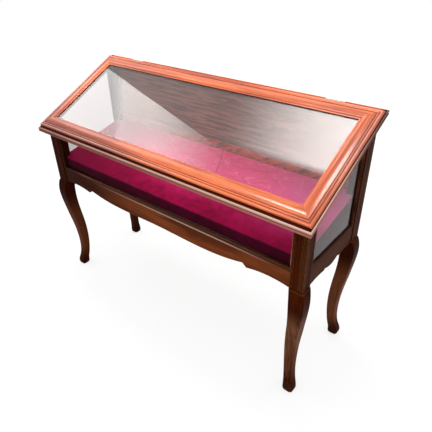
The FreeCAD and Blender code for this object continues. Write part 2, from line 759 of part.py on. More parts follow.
def lid_section():
    """A rounded edge, a reed between sunk lines, a swelling band and a bevel to the glass."""
    round_bulge = LID_EDGE_RADIUS * (1 - math.sqrt(0.5))
    sunk = LID_EDGE - LID_QUIRK_DEPTH
    reed_start = LID_QUIRK_START + LID_QUIRK_WIDTH
    reed_end = reed_start + 2 * LID_REED_RADIUS
    band_start = reed_end + LID_QUIRK_WIDTH
    rebate = LID_LIP - LID_LIP_THICKNESS
    section = [
        (0, LID_UNDERCUT_HEIGHT, 0),
        (0, LID_EDGE - LID_EDGE_RADIUS, 0),
        (LID_EDGE_RADIUS, LID_EDGE, round_bulge),
        (LID_QUIRK_START, LID_EDGE, 0),
        (LID_QUIRK_START, sunk, 0),
        (reed_start, sunk, 0),
        (reed_end, sunk, LID_REED_RADIUS),
        (band_start, sunk, 0),
        (band_start, LID_BAND_FOOT, 0),
        (LID_WIDTH - LID_CREST_FROM_SIGHT, LID_CREST, LID_BAND_BULGE),
        (LID_WIDTH - LID_BEVEL_FROM_SIGHT, LID_LIP, LID_BEVEL_BULGE),
        (LID_WIDTH, LID_LIP, 0),
        (LID_WIDTH, rebate, 0),
        (LID_REBATE_EDGE, rebate, 0),
        (LID_REBATE_EDGE, 0, 0),
        (LID_UNDERCUT_WIDTH, 0, 0),
        (LID_UNDERCUT_WIDTH, LID_UNDERCUT_HEIGHT, 0),
    ]
    return [(t, RIM_THICKNESS + w, bulge) for t, w, bulge in section]


def arc_points(start, end, bulge, steps):
    """Points of a section along an arc that swells out by the bulge between two points."""
    chord = math.dist(start, end)
    along = ((end[0] - start[0]) / chord, (end[1] - start[1]) / chord)
    half_turn = 2 * math.atan(2 * bulge / chord)
    radius = chord / (2 * math.sin(half_turn))
    points = []
    for i in range(steps + 1):
        turn = half_turn * (2 * i / steps - 1)
        forward = chord / 2 + radius * math.sin(turn)
        outward = bulge - radius * (1 - math.cos(turn))
        points.append((
            start[0] + along[0] * forward - along[1] * outward,
            start[1] + along[1] * forward + along[0] * outward,
        ))
    return points


def section_face(section, place, sheared):
    """The face of a section. place(t, w) gives a point in space, and sheared is true if that
    turns circles into ellipses."""
    edges = []
    for i, (t, w, bulge) in enumerate(section):
        start, end = section[i - 1][:2], (t, w)
        if not bulge:
            edges.append(Part.LineSegment(place(*start), place(*end)).toShape())
        elif sheared:
            curve = Part.BSplineCurve()
            curve.interpolate([place(*p) for p in arc_points(start, end, bulge, 8)])
            edges.append(curve.toShape())
        else:
            arc = Part.Arc(*[place(*p) for p in arc_points(start, end, bulge, 2)])
            edges.append(arc.toShape())
    return Part.Face(Part.Wire(edges))


def moulded_members(half_width, ends, width, section, height):
    """Four mitred members of one moulding: front, right, back and left.

    height(y) is the height that the section's own heights are added to."""
    start, end = ends
    along_x = Vector(2 * half_width, 0, 0)
    along_y = Vector(0, end - start, height(end) - height(start))
    runs = [
        (lambda t, w: Vector(-half_width, start + t, height(start + t) + w), along_x),
        (lambda t, w: Vector(half_width - t, start, height(start) + w), along_y),
        (lambda t, w: Vector(-half_width, end - t, height(end - t) + w), along_x),
        (lambda t, w: Vector(-half_width + t, start, height(start) + w), along_y),
    ]
    heights = [w for t, w, bulge in section]
    low = Vector(0, 0, height(start) + min(heights) - width)
    high = Vector(0, 0, height(end) + max(heights) + width)
    spare = width
    corners = rectangle(
        (-half_width - spare, half_width + spare), (start - spare, end + spare)
    )
    members = []
    for (place, run), outline in zip(runs, mitred_strips(corners, width + spare)):
        sheared = run is along_x and height(start) != height(end)
        mitre = plate([Vector(x, y, 0) + low for x, y in outline], high - low)
        members.append(section_face(section, place, sheared).extrude(run).common(mitre))
    return members


def rim_members():
    """The four members of the rim, with the hinges let into the back one."""
    reach = (RIM_FRONT_Y, RIM_BACK_Y)
    members = moulded_members(RIM_HALF_WIDTH, reach, RIM_WIDTH, rim_section(), slope_height)
    cuts = []
    for x in (-HINGE_X, HINGE_X):
        half = HINGE_LENGTH / 2
        knuckle = half + PIN_HEAD_LENGTH + FIT
        beyond = LID_BACK_V + RIM_WIDTH
        leaf_w = (RIM_THICKNESS - LEAF_THICKNESS, 2 * RIM_THICKNESS)
        knuckle_w = (RIM_THICKNESS - KNUCKLE_RADIUS - RUNNING_GAP, 2 * RIM_THICKNESS)
        cuts.append(box((x - half, x + half), (PIN_V - LEAF_WIDTH, beyond), leaf_w))
        cuts.append(box((x - knuckle, x + knuckle), (LID_BACK_V, beyond), knuckle_w))
    members[2] = members[2].cut([on_slope(c) for c in cuts] + hinge_screw_holes(case=True))
    return members


def lid_members():
    """The four members of the lid frame, with the hinges let into the back one."""
    reach = (LID_FRONT_V, LID_BACK_V)
    members = moulded_members(LID_HALF_WIDTH, reach, LID_WIDTH, lid_section(), lambda v: 0.0)
    cuts = hinge_screw_holes(case=False, placed=False)
    for x in (-HINGE_X, HINGE_X):
        half = HINGE_LENGTH / 2
        leaf_v = (PIN_V - LEAF_WIDTH, LID_BACK_V + RIM_WIDTH)
        cuts.append(box((x - half, x + half), leaf_v, (0, RIM_THICKNESS + LEAF_THICKNESS)))
    members[2] = members[2].cut(cuts)
    return [on_slope(m) for m in members]


def lid_opening(edge):
    """The corners of the lid's opening at a distance inside its outer edge."""
    half = LID_HALF_WIDTH - edge
    return rectangle((-half, half), (LID_FRONT_V + edge, LID_BACK_V - edge))


def lid_glass():
    """The pane of the lid, under the lip of the frame."""
    corners = lid_opening(LID_REBATE_EDGE + LID_GLASS_CLEARANCE)
    points = [Vector(x, v, LID_GLASS_W) for x, v in corners]
    return on_slope(plate(points, Vector(0, 0, LID_GLASS_THICKNESS)))


def lid_beads():
    """The four beads that hold the lid's pane from below: front, right, back and left."""
    depths = (LID_GLASS_W, LID_GLASS_W - LID_BEAD_HEIGHT)

    def place(a, b, depth):
        return Vector(a, b, depth)

    beads = glazing_beads(
        lid_opening(LID_REBATE_EDGE), LID_BEAD_WIDTH, depths, place, LID_BEAD_ROUNDING
    )
    return [on_slope(b) for b in beads]


# ---- hinges ----
def hinge_screws(case, grow=0.0):
    """The screws of both hinges on the case side or the lid side, in the slope frame."""
    face = RIM_THICKNESS - SCREW_CLEARANCE if case else RIM_THICKNESS + SCREW_CLEARANCE
    way = Vector(0, 0, -1) if case else Vector(0, 0, 1)
    length = HINGE_SCREW_CASE_LENGTH if case else HINGE_SCREW_LID_LENGTH
    return [
        screw(Vector(x + i * SCREW_PITCH, PIN_V - SCREW_FROM_PIN, face), way, length, grow)
        for x in (-HINGE_X, HINGE_X) for i in (-1, 0, 1)
    ]


def hinge_screw_holes(case, placed=True):
    """The holes of the hinge screws, on the case or still in the slope frame."""
    holes = hinge_screws(case, SCREW_CLEARANCE)
    return [on_slope(h) for h in holes] if placed else holes


def hinge_leaf(x, case):
    """One leaf of a hinge with its knuckles. The case side has the outer and middle ones."""
    half = HINGE_LENGTH / 2
    step = HINGE_LENGTH / HINGE_SEGMENTS
    low = RIM_THICKNESS - LEAF_THICKNESS if case else RIM_THICKNESS
    body = box((x - half, x + half), (PIN_V - LEAF_WIDTH, PIN_V), (low, low + LEAF_THICKNESS))

    def on_pin(radius, start, end):
        return rod(radius, Vector(start, PIN_V, RIM_THICKNESS), Vector(end, PIN_V, RIM_THICKNESS))

    for i in range(HINGE_SEGMENTS):
        start = x - half + i * step
        end = start + step
        if (i % 2 == 0) == case:
            gap = RUNNING_GAP / 2
            body = body.fuse(on_pin(KNUCKLE_RADIUS, start + gap, end - gap))
        else:
            body = body.cut(on_pin(KNUCKLE_RADIUS + RUNNING_GAP, start, end))
    body = body.cut(on_pin(PIN_RADIUS + PIN_CLEARANCE, x - HINGE_LENGTH, x + HINGE_LENGTH))
    return on_slope(body.cut(hinge_screw_holes(case, placed=False)))


def hinge_pin(x):
    """The pin of a hinge, with a small head at each end."""
    half = HINGE_LENGTH / 2
    ends = [Vector(x + i * half, PIN_V, RIM_THICKNESS) for i in (-1, 1)]
    outward = [Vector(i * PIN_HEAD_LENGTH, 0, 0) for i in (-1, 1)]
    heads = [rod(PIN_HEAD_RADIUS, e, e + o) for e, o in zip(ends, outward)]
    return on_slope(rod(PIN_RADIUS, *ends).fuse(heads))


# ---- the table ----
def table():
    """Every piece of the table by name."""
    rim = rim_members()
    lid = lid_members()
    beads = lid_beads()
    pieces = {
        "leg_front_left": leg(-1, -1),
        "leg_front_right": leg(1, -1),
        "leg_back_left": leg(-1, 1),
        "leg_back_right": leg(1, 1),
        "apron_front": apron_front(),
        "apron_left": apron_side(-1),
        "apron_right": apron_side(1),
        "apron_back": apron_back(),
        "back_top_rail": back_top_rail(),
        "back_panel": back_panel(),
        "retaining_strip": retaining_strip(),
        "retaining_strip_screws": group(strip_screws()),
        "case_floor": case_floor(),
        "floor_battens": floor_battens(),
        "floor_screws": group(floor_screws()),
        "corner_blocks": corner_blocks(),
        "display_board": display_board(),
        "velvet_cover": velvet_cover(),
        "riser_front": riser_front(),
        "riser_left": riser_side(-1),
        "riser_right": riser_side(1),
        "board_bearers": board_bearers(),
        "lid_glass": lid_glass(),
        "hinge_screws_case": group([on_slope(s) for s in hinge_screws(True)]),
        "hinge_screws_lid": group([on_slope(s) for s in hinge_screws(False)]),
    }
    openings = {
        "front": (front_opening, front_place),
        "left": (side_opening, left_place),
        "right": (side_opening, right_place),
    }
    for name, (opening, place) in openings.items():
        pieces["glass_" + name] = pane(opening, place)
        pieces["outer_beads_" + name] = outer_beads(opening, place)
        pieces["inner_beads_" + name] = inner_beads(opening, place)
    for i, name in enumerate(("front", "right", "back", "left")):
        pieces["rim_" + name] = rim[i]
        pieces["lid_frame_" + name] = lid[i]
        pieces["lid_bead_" + name] = beads[i]
    for name, x in (("left", -HINGE_X), ("right", HINGE_X)):
        pieces["hinge_case_leaf_" + name] = hinge_leaf(x, True)
        pieces["hinge_lid_leaf_" + name] = hinge_leaf(x, False)
        pieces["hinge_pin_" + name] = hinge_pin(x)
    return pieces


os.makedirs("parts", exist_ok=True)
for node, shape in table().items():
    shape.exportStep("parts/" + node + ".step")
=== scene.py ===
import math

import bmesh
import bpy
from bpy.props import FloatProperty, FloatVectorProperty, PointerProperty
from mathutils import Matrix, Vector, noise


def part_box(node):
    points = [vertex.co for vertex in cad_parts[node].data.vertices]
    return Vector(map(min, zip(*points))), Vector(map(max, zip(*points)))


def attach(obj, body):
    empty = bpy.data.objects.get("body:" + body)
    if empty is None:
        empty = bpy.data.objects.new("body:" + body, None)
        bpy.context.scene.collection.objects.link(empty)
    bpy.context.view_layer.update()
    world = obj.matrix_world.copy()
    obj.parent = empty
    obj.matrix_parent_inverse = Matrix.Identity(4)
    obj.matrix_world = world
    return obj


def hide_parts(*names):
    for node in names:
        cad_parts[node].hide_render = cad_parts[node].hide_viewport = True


bl_info = {
    "name": "Collectors display table",
    "version": (1, 0, 0),
    "blender": (4, 5, 0),
    "location": "3D Viewport > Sidebar > Display Table",
    "description": "Finishes a display table: polished mahogany, window glass, brass and velvet",
    "category": "Object",
}

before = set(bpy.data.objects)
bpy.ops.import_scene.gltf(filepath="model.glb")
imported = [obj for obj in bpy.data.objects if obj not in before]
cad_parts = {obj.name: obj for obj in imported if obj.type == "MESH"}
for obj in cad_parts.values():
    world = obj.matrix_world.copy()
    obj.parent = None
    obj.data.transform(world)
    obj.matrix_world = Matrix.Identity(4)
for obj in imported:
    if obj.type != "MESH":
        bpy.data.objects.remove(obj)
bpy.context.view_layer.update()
CASE = "case"

# The words that end the nodes' names. The lid's and the rim's front and back members run along
# X, their left and right ones up the slope.
SIDES = ("left", "right")
ENDS = ("front", "back")
CORNERS = [f"{end}_{side}" for end in ENDS for side in SIDES]

# Stretches over which the wood's look changes, in metres from the middle of the table and from
# the floor.
# Where the lid frame is darker as painted shade.
LID_LESS_LIT_X = (-0.22, 0.05)
LID_LESS_LIT_Y = (-0.20, 0.08)
# Where wear and painted highlight on the arrises fade out at the left end.
LESS_WEAR_AND_GLEAM_LEFT = (-0.45, -0.25)
DARK_BEADS = (-0.46, -0.26)
DARK_RAILS = (-0.42, 0.03)
DARK_STRIP = (-0.30, -0.02)
SHADED_RIGHT_SIDE = (0.512, 0.524)
# Where the painted highlight along the front rail starts and ends.
HIGHLIGHT_STARTS = (-0.40, 0.15)
HIGHLIGHT_ENDS = (0.22, 0.50)
LIT_SHIN = (0.27, 0.38)
DARK_FOOT = (0.040, 0.120)
SHADED_X = (0.50, 0.54)
SHADED_Y = (-0.14, 0.16)

# Heights of the same kind, from the joint between the rails and the beads above them.
LOWER_BEAD = (0.016, 0.020)
# BEAD_JOINT and RAIL_JOINT are where painted shade darkens the joint; RAIL_HIGHLIGHT is where the
# painted highlight lies.
BEAD_JOINT = (0.0015, 0.0030)
RAIL_JOINT = (-0.0035, -0.0020)
RAIL_HIGHLIGHT = (-0.0075, -0.0060)

# Stretches of the rim's section, in metres in from its outer edge or away from the middle of the
# quirk between its reeds. UPPER_REED counts reeds up from the foot of the lower one.
REEDS_END = (0.0034, 0.0042)
BACK_MEMBER = (0.014, 0.012)
BACK_CORNERS = (0.016, 0.020)
QUIRK = (0.0004, 0.0016)
UPPER_REED = (1.25, 1.90)

# Stretches over which the velvet's colour changes, in metres along X. The two named BEHIND are
# along Y.
# LIT_FROM and LIT_BEHIND bound the painted light on the velvet, and LAMP_HAZE_FROM its painted
# haze.
LIT_FROM = (-0.50, 0.05)
DARK_RIGHT = (-0.05, 0.45)
LAMP_HAZE_FROM = (0.22, 0.46)
LIT_BEHIND = (-0.10, 0.06)
WRINKLED_BEHIND = (-0.06, 0.10)

# How far from the middle of the crease the pile changes colour, and over how much of the
# crease's foot it comes in, in metres.
CREASE_EDGE = (0.0012, 0.0032)
CREASE_FADE = 0.01

# Figures of the materials: waves per metre along three axes. A wood's first one is its grain.
PORES = (70.0, 1500.0, 1500.0)
PATCHES = (9.0, 9.0, 9.0)
TARNISH = (140.0, 140.0, 140.0)
SCRATCHES = (300.0, 2600.0, 2600.0)
SPECKLE = (60.0, 60.0, 60.0)
CRUSHED_PILE = (34.0, 34.0, 34.0)
BROAD_PILE = (6.0, 9.0, 9.0)
TUFTS = (900.0, 900.0, 900.0)
WRINKLES = (9.0, 16.0, 9.0)

# Stretches of those figures, which run from 0 to 1, over which a look comes in.
DARK_PORES = (0.60, 0.72)
DARK_PATCHES = (0.50, 0.72)
TARNISHED = (0.40, 0.66)
LEANING_PILE = (0.36, 0.60)
DARK_TUFTS = (0.35, 0.75)

# Shares in which a broad and a fine figure are added.
WOOD_SHARES = (0.55, 0.45)
PILE_SHARES = (0.65, 0.35)


# ---- settings ----
def colour(name, text, value):
    """A colour that the user can pick, in linear light."""
    return FloatVectorProperty(
        name=name, description=text, default=value, size=3, subtype="COLOR", min=0, max=1
    )


def length(name, text, value):
    """A size that the user can set."""
    return FloatProperty(name=name, description=text, default=value, unit="LENGTH", precision=4)


def number(name, text, value):
    """A plain number that the user can set."""
    return FloatProperty(name=name, description=text, default=value)


def share(name, text, value):
    """A factor from none to all."""
    return FloatProperty(name=name, description=text, default=value, min=0, max=1)


def angle(name, text, degrees):
    """An angle that the user can set."""
    return FloatProperty(
        name=name, description=text, default=math.radians(degrees), subtype="ANGLE", unit="ROTATION"
    )


class WoodSettings(bpy.types.PropertyGroup):
    lid_red: colour(
        "Lid mahogany", "French-polished mahogany of the lid frame", (0.960, 0.192, 0.050)
    )
    lid_dark: colour("Lid streaks", "Darker streaks in the lid frame", (0.540, 0.078, 0.020))
    # Darker lid colours for the painted shade towards its front left corner.
    lid_red_less_lit: colour("Unfaded lid", "Lid frame where it is less faded", (0.500, 0.075, 0.022))
    lid_streaks_less_lit: colour(
        "Unfaded lid streaks", "Streaks where the lid is less faded", (0.260, 0.030, 0.010)
    )
    # Dark stain of the rim, darkened further as painted shade on the flat under the lid's edge.
    rim_brown: colour(
        "Rim mahogany", "Stained flat between the rim's reeds and the lid", (0.110, 0.014, 0.004)
    )
    rim_dark: colour("Rim streaks", "Darker streaks in the rim", (0.035, 0.004, 0.001))
    # The upper reed is rubbed wood with a painted highlight; the same colour makes the painted
    # highlight along the rails.
    pale_reed_and_highlight: colour("Upper reed", "Rubbed wood of the rim's upper reed", (1.000, 0.700, 0.590))
    reed_dull: colour("Lower reed", "Rubbed wood of the rim's lower reed", (0.500, 0.190, 0.150))
    case_red: colour("Rail mahogany", "Dark-stained mahogany of the rails", (0.275, 0.070, 0.022))
    case_dark: colour("Rail streaks", "Darker streaks in the rails", (0.120, 0.028, 0.009))
    post_red: colour("Post mahogany", "Stain of the posts and the knees", (0.075, 0.013, 0.003))
    post_dark: colour("Post streaks", "Darker streaks in the posts", (0.022, 0.003, 0.001))
    # Shin colours: a painted highlight on the legs between the knee and the foot.
    shin_lit: colour(
        "Rubbed leg", "Paler wood between the knee and the foot", (0.290, 0.125, 0.066)
    )
    shin_lit_streaks: colour(
        "Rubbed leg streaks", "Darker streaks between the knee and the foot", (0.100, 0.030, 0.012)
    )
    # Paler wood along the case's arrises: wear, with a painted highlight on it.
    rubbed_and_lit: colour(
        "Rubbed edge", "Wood that shows along worn edges of the case", (0.500, 0.200, 0.075)
    )
    bead_brown: colour("Glazing bead", "Polished beads round the panes", (0.440, 0.185, 0.110))
    # Paler wood along the beads' edges: wear, with a painted highlight on it.
    bead_rubbed_and_lit: colour(
        "Rubbed bead", "Wood that shows along the beads' edges", (0.620, 0.300, 0.170)
    )
    panel_brown: colour("Back panel", "Stained veneer of the back", (0.320, 0.115, 0.075))
    panel_dark: colour("Back panel streaks", "Darker streaks in the back", (0.070, 0.022, 0.014))
    strip_red: colour(
        "Retaining strip", "Strip along the back of the velvet", (0.560, 0.070, 0.034)
    )
    strip_dark: colour(
        "Retaining strip streaks", "Darker streaks in the strip", (0.140, 0.014, 0.008)
    )
    # The dark of dirt and of painted shade, laid in quirks and corners and at the beads' joints.
    dirt_and_shade: colour("Dirt", "Old wax and dirt in quirks and corners", (0.028, 0.006, 0.003))
    # How much painted shade and dirt darken quirks and corners.
    grime_and_shade: share("Dirt depth", "How much dirt lies in quirks and corners", 0.75)
    varnish: colour("Varnish", "Tint of the light that the varnish throws back", (1.0, 0.62, 0.45))
    deal: colour("Deal", "Unfinished softwood inside the case", (0.420, 0.250, 0.130))
    deal_dark: colour("Deal streaks", "Darker rings in the softwood", (0.260, 0.135, 0.060))
    arris: length("Arris", "Rounding of worn edges", 0.0008)
    reed: length("Reed", "Height of each of the rim's two reeds", 0.0076)
    slope: angle("Lid slope", "Slope of the lid and the rim", 26.5)


class ClothSettings(bpy.types.PropertyGroup):
    pile: colour("Velvet", "Colour of the pile", (0.480, 0.002, 0.078))
    pile_dark: colour("Crushed pile", "Colour where the pile lies away", (0.250, 0.001, 0.040))
    # Paler pile where painted light falls, towards the back of the board.
    paled: colour(
        "Faded velvet", "Colour of the pile where the light has faded it", (0.930, 0.040, 0.235)
    )
    paled_dark: colour(
        "Faded crushed pile", "Faded colour where the pile lies away", (0.760, 0.022, 0.150)
    )
    # A painted haze of lamplight at the right end.
    lamp_haze: colour("Bloom", "Lilac bloom at the right end", (0.760, 0.070, 0.290))
    wrinkle: colour("Wrinkles", "Pile that stands along wrinkles", (0.950, 0.260, 0.420))
    # The skirts' dark colour is painted shade.
    skirt: colour("Skirt", "Colour of the pile on the upright skirts", (0.090, 0.001, 0.018))
    sheen: colour("Sheen", "Light that the tips of the pile throw back", (1.0, 0.45, 0.62))
    board_slope: angle("Board slope", "Slope of the display board", 12.6)
    thickness: length("Thickness", "Thickness of the velvet with its pile", 0.0016)
    edge: length("Edge radius", "Rounding over the board's edges", 0.003)
    lift: length("Lift", "How far the cloth rises off the board between tacks", 0.0009)
    mesh: length("Mesh", "Spacing of the cloth's points", 0.004)
    crease_head: FloatVectorProperty(
        name="Crease head", description="Where the crease starts at the back",
        default=(0.023, 0.176), size=2, subtype="XYZ", unit="LENGTH",
    )
    crease_foot: FloatVectorProperty(
        name="Crease foot", description="Where the crease ends towards the front",
        default=(0.090, 0.046), size=2, subtype="XYZ", unit="LENGTH",
    )


class GlassSettings(bpy.types.PropertyGroup):
    lid_tint: colour("Lid tint", "Colour of the old glass in the lid", (0.890, 0.845, 0.845))
    front_tint: colour("Front tint", "Colour of the old glass in the front", (0.820, 0.815, 0.815))
    side_tint: colour(
        "Side tint", "Colour of the old glass in the sides", (0.560, 0.545, 0.545)
    )
    lid_index: number("Lid index", "How much the lid's pane mirrors and bends", 1.54)
    front_index: number("Front index", "How much the front pane mirrors and bends", 1.0)
    side_index: number("Side index", "How much the side panes mirror and bend", 1.17)
    through: colour(
        "Lamplight", "Share of the lamplight that the glass lets through", (1.0, 1.0, 1.0)
    )


class MetalSettings(bpy.types.PropertyGroup):
    brass: colour("Brass", "Aged brass of the hinges", (0.480, 0.320, 0.120))
    tarnish: colour("Tarnish", "Brown tarnish on the brass", (0.160, 0.090, 0.035))
    steel: colour("Steel", "Dull steel of the screws", (0.330, 0.310, 0.290))
    rust: colour("Dirt", "Dirt on the screws", (0.110, 0.065, 0.040))


class StageSettings(bpy.types.PropertyGroup):
    camera: FloatVectorProperty(
        name="Camera", description="Place of the camera", default=(0.937, -0.979, 1.231),
        size=3, subtype="TRANSLATION", unit="LENGTH",
    )
    azimuth: angle("Azimuth", "Turn of the camera round the table", 39.79)
    elevation: angle("Elevation", "Height of the camera's view", 32.42)
    roll: angle("Roll", "Tilt of the camera", -1.18)
    lens: number("Lens", "Focal length on a 36 mm sensor", 36.76)
    floor: share("Floor", "How pale the floor is to the light that falls on it", 0.30)
    ambient: share("Room light", "Even light from all round", 0.95)
    side_light: number("Side lamp", "Brightness of the lamps at the side", 4.4)
    gleam: number("Gleam", "Brightness of the lamps in front and at the right", 26.0)
    top_light: number("Top lamp", "Brightness of the top lamp", 9.5)


# ---- nodes ----
def add(tree, kind, inputs=None, **settings):
    """Adds a node. inputs gives its sockets a value or a link, by name or number."""
    made = tree.nodes.new(kind)
    for name, value in settings.items():
        setattr(made, name, value)
    for name, value in (inputs or {}).items():
        if isinstance(value, bpy.types.NodeSocket):
            tree.links.new(value, made.inputs[name])
        else:
            made.inputs[name].default_value = value
    return made


def blank(name):
    """A new material, its tree and its output node."""
    material = bpy.data.materials.new(name)
    material.use_nodes = True
    tree = material.node_tree
    tree.nodes.clear()
    return material, tree, add(tree, "ShaderNodeOutputMaterial")


def calc(tree, operation, a, b=0.0):
    """A sum or comparison of two numbers."""
    return add(tree, "ShaderNodeMath", {0: a, 1: b}, operation=operation).outputs[0]


def plus(tree, a, b):
    """Two numbers together."""
    return calc(tree, "ADD", a, b)


def minus(tree, a, b):
    """One number less another."""
    return calc(tree, "SUBTRACT", a, b)


def times(tree, a, b):
    """One number times another."""
    return calc(tree, "MULTIPLY", a, b)


def blended(tree, a, b, shares):
    """Two numbers together, in these shares."""
    return plus(tree, times(tree, a, shares[0]), times(tree, b, shares[1]))


def ramp(tree, factor, low, high):
    """0 below low, 1 above high, smooth between."""
    made = add(
        tree, "ShaderNodeMapRange", {"Value": factor, "From Min": low, "From Max": high},
        interpolation_type="SMOOTHSTEP",
    )
    return made.outputs["Result"]


def fall(tree, factor, low, high):
    """1 below low, 0 above high, smooth between."""
    return minus(tree, 1.0, ramp(tree, factor, low, high))


def between(tree, factor, low, high):
    """A number that goes from low to high with the factor."""
    made = add(tree, "ShaderNodeMapRange", {"Value": factor, "To Min": low, "To Max": high})
    return made.outputs["Result"]


def mixed(tree, factor, a, b, blend="MIX"):
    """The colour a with b over it. A factor of 0 gives a, and of 1 all that b adds."""
    made = add(tree, "ShaderNodeMix", {"Factor": factor}, data_type="RGBA", blend_type=blend)
    # The colour sockets share their names with the sockets for numbers and vectors.
    first, second, result = 6, 7, 2
    for socket, value in ((made.inputs[first], a), (made.inputs[second], b)):
        if isinstance(value, bpy.types.NodeSocket):
            tree.links.new(value, socket)
        else:
            socket.default_value = (*value, 1.0)
    return made.outputs[result]


def shaders_mixed(tree, factor, a, b):
    """The first shader where the factor is 0, the second where it is 1."""
    shaders = {0: factor, 1: a.outputs[0], 2: b.outputs[0]}
    return add(tree, "ShaderNodeMixShader", shaders)


def show(tree, shader, output):
    """Makes a shader the surface."""
    tree.links.new(shader.outputs[0], output.inputs["Surface"])


def cloudy(tree, vector, scale, detail=4.0, roughness=0.55):
    """Noise over a vector, stretched by a scale along each axis. Scales are per metre."""
    stretched = add(tree, "ShaderNodeMapping", {"Vector": vector, "Scale": scale}).outputs[0]
    made = add(
        tree, "ShaderNodeTexNoise",
        {"Vector": stretched, "Scale": 1.0, "Detail": detail, "Roughness": roughness},
    )
    return made.outputs["Fac"]


def object_place(tree):
    """A point's place on the piece, which moves with the piece."""
    return add(tree, "ShaderNodeTexCoord").outputs["Object"]


def axes(tree, vector):
    """A vector's parts, by X, Y and Z."""
    return add(tree, "ShaderNodeSeparateXYZ", {"Vector": vector}).outputs


def worn_and_highlit_edge(tree, radius):
    """1 along the arrises, 0 on the flats: where wear and a painted highlight go."""
    rounded = add(tree, "ShaderNodeBevel", {"Radius": radius}, samples=6).outputs[0]
    plain = add(tree, "ShaderNodeNewGeometry").outputs["Normal"]
    dot = add(tree, "ShaderNodeVectorMath", {0: rounded, 1: plain}, operation="DOT_PRODUCT")
    blunt, sharp = 0.02, 0.22
    return ramp(tree, minus(tree, 1.0, dot.outputs["Value"]), blunt, sharp)


def grime_and_shade(tree):
    """Painted shade and dirt: 1 deep in quirks and corners, 0 on open faces."""
    reach = 0.007
    shallow, deep = 0.12, 0.60
    open_sky = add(tree, "ShaderNodeAmbientOcclusion", {"Distance": reach}, samples=6).outputs["AO"]
    return ramp(tree, minus(tree, 1.0, open_sky), shallow, deep)


# ---- wood ----
def grain_turn(grain, slope):
    """The turn that lays a board's grain along X."""
    quarter = math.pi / 2
    turns = {
        "x": (0, 0, 0), "y": (0, 0, -quarter), "z": (0, quarter, 0), "slope": (-slope, 0, -quarter),
        "ribbon": (0, quarter / 3, 0),
    }
    return turns[grain]


def figured(tree, tone, light, dark):
    """A wood's colour from the tone of its figure."""
    return mixed(tree, tone, dark, light)


def wood(
    name, grain, light, dark, polish=0.5, shine=0.22, index=1.5, wear_and_gleam=0.35, rubbed_and_lit=None,
    wear_and_gleam_width=0.0016, waves=(2.2, 26.0), lines=(7.0, 210.0), contrast=(0.36, 0.62), recolour=None,
    worn_and_lit=None,
):
    """Polished wood with its grain along x, y, z, up the slope or aslant like a ribbon.

    polish is the coat of varnish, shine the roughness and index how much the wood mirrors.
    wear_and_gleam is how much its arrises show the paler colour of wear with a painted highlight,
    and wear_and_gleam_width how far in from them. waves and lines are the broad and the fine
    figure, by the metre along and across the grain, and contrast is where it turns from dark to
    light. recolour(tree, place, tone, base) changes the colour from place to place, in most
    finishes with painted light and shade, and worn_and_lit(tree, place) the share of wear and
    painted highlight."""
    settings = bpy.context.scene.table_wood
    material, tree, output = blank(f"{name}_{grain}")
    place = object_place(tree)
    turn = grain_turn(grain, settings.slope)
    board = add(tree, "ShaderNodeMapping", {"Vector": place, "Rotation": turn}).outputs[0]
    figure = cloudy(tree, board, (waves[0], waves[1], waves[1]), 3.0)
    streaks = cloudy(tree, board, (lines[0], lines[1], lines[1]), 5.0, 0.6)
    pores = cloudy(tree, board, PORES, 2.0)
    patches = cloudy(tree, place, PATCHES, 2.0)
    tone = ramp(tree, blended(tree, figure, streaks, WOOD_SHARES), *contrast)
    base = figured(tree, tone, light, dark)
    if recolour:
        base = recolour(tree, place, tone, base)
    depth = mixed(tree, 1.0, base, (0.30, 0.26, 0.24), "MULTIPLY")
    base = mixed(tree, times(tree, ramp(tree, pores, *DARK_PORES), 0.40), base, depth)
    base = mixed(tree, times(tree, ramp(tree, patches, *DARK_PATCHES), 0.22), base, depth)
    # Wear and a painted highlight along the arrises.
    edge = times(tree, worn_and_highlit_edge(tree, wear_and_gleam_width), wear_and_gleam)
    if worn_and_lit:
        edge = times(tree, edge, worn_and_lit(tree, place))
    rubbed_and_lit = rubbed_and_lit or [min(1.0, c * 1.5 + 0.03) for c in light]
    base = mixed(tree, edge, base, rubbed_and_lit)
    # Painted shade and dirt in quirks and corners, from how little open sky they see.
    base = mixed(tree, times(tree, grime_and_shade(tree), settings.grime_and_shade), base, settings.dirt_and_shade)
    rounded = add(tree, "ShaderNodeBevel", {"Radius": settings.arris}, samples=4).outputs[0]
    height = minus(tree, times(tree, streaks, 0.5), pores)
    bump = add(
        tree, "ShaderNodeBump",
        {"Height": height, "Strength": 0.20, "Distance": 0.0004, "Normal": rounded},
    ).outputs[0]
    roughness = between(tree, plus(tree, patches, times(tree, pores, 0.3)), shine, shine + 0.22)
    shader = add(tree, "ShaderNodeBsdfPrincipled", {
        "Base Color": base, "Roughness": roughness, "Normal": bump, "IOR": index,
        "Coat Weight": polish, "Coat Roughness": 0.15, "Coat IOR": 1.6, "Coat Normal": rounded,
        "Specular IOR Level": 0.4, "Specular Tint": (*settings.varnish, 1.0),
    })
    show(tree, shader, output)
    return material


def lid_colours(tree, place, tone, base):
    """Painted shade: darker wood towards the lid's front left corner."""
    settings = bpy.context.scene.table_wood
    parts = axes(tree, place)
    less_lit_x = fall(tree, parts["X"], *LID_LESS_LIT_X)
    less_lit_y = fall(tree, parts["Y"], *LID_LESS_LIT_Y)
    less_lit = times(tree, less_lit_x, less_lit_y)
    return mixed(tree, less_lit, base, figured(tree, tone, settings.lid_red_less_lit, settings.lid_streaks_less_lit))


def over_joint(stretch):
    """A stretch of heights, counted from the joint between the front rail and its beads."""
    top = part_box("apron_front")[1].z
    return [top + height for height in stretch]


def left_end_wear_and_gleam(tree, place):
    """Less wear and painted highlight at the left end of the table."""
    return between(tree, ramp(tree, axes(tree, place)["X"], *LESS_WEAR_AND_GLEAM_LEFT), 0.2, 1.0)


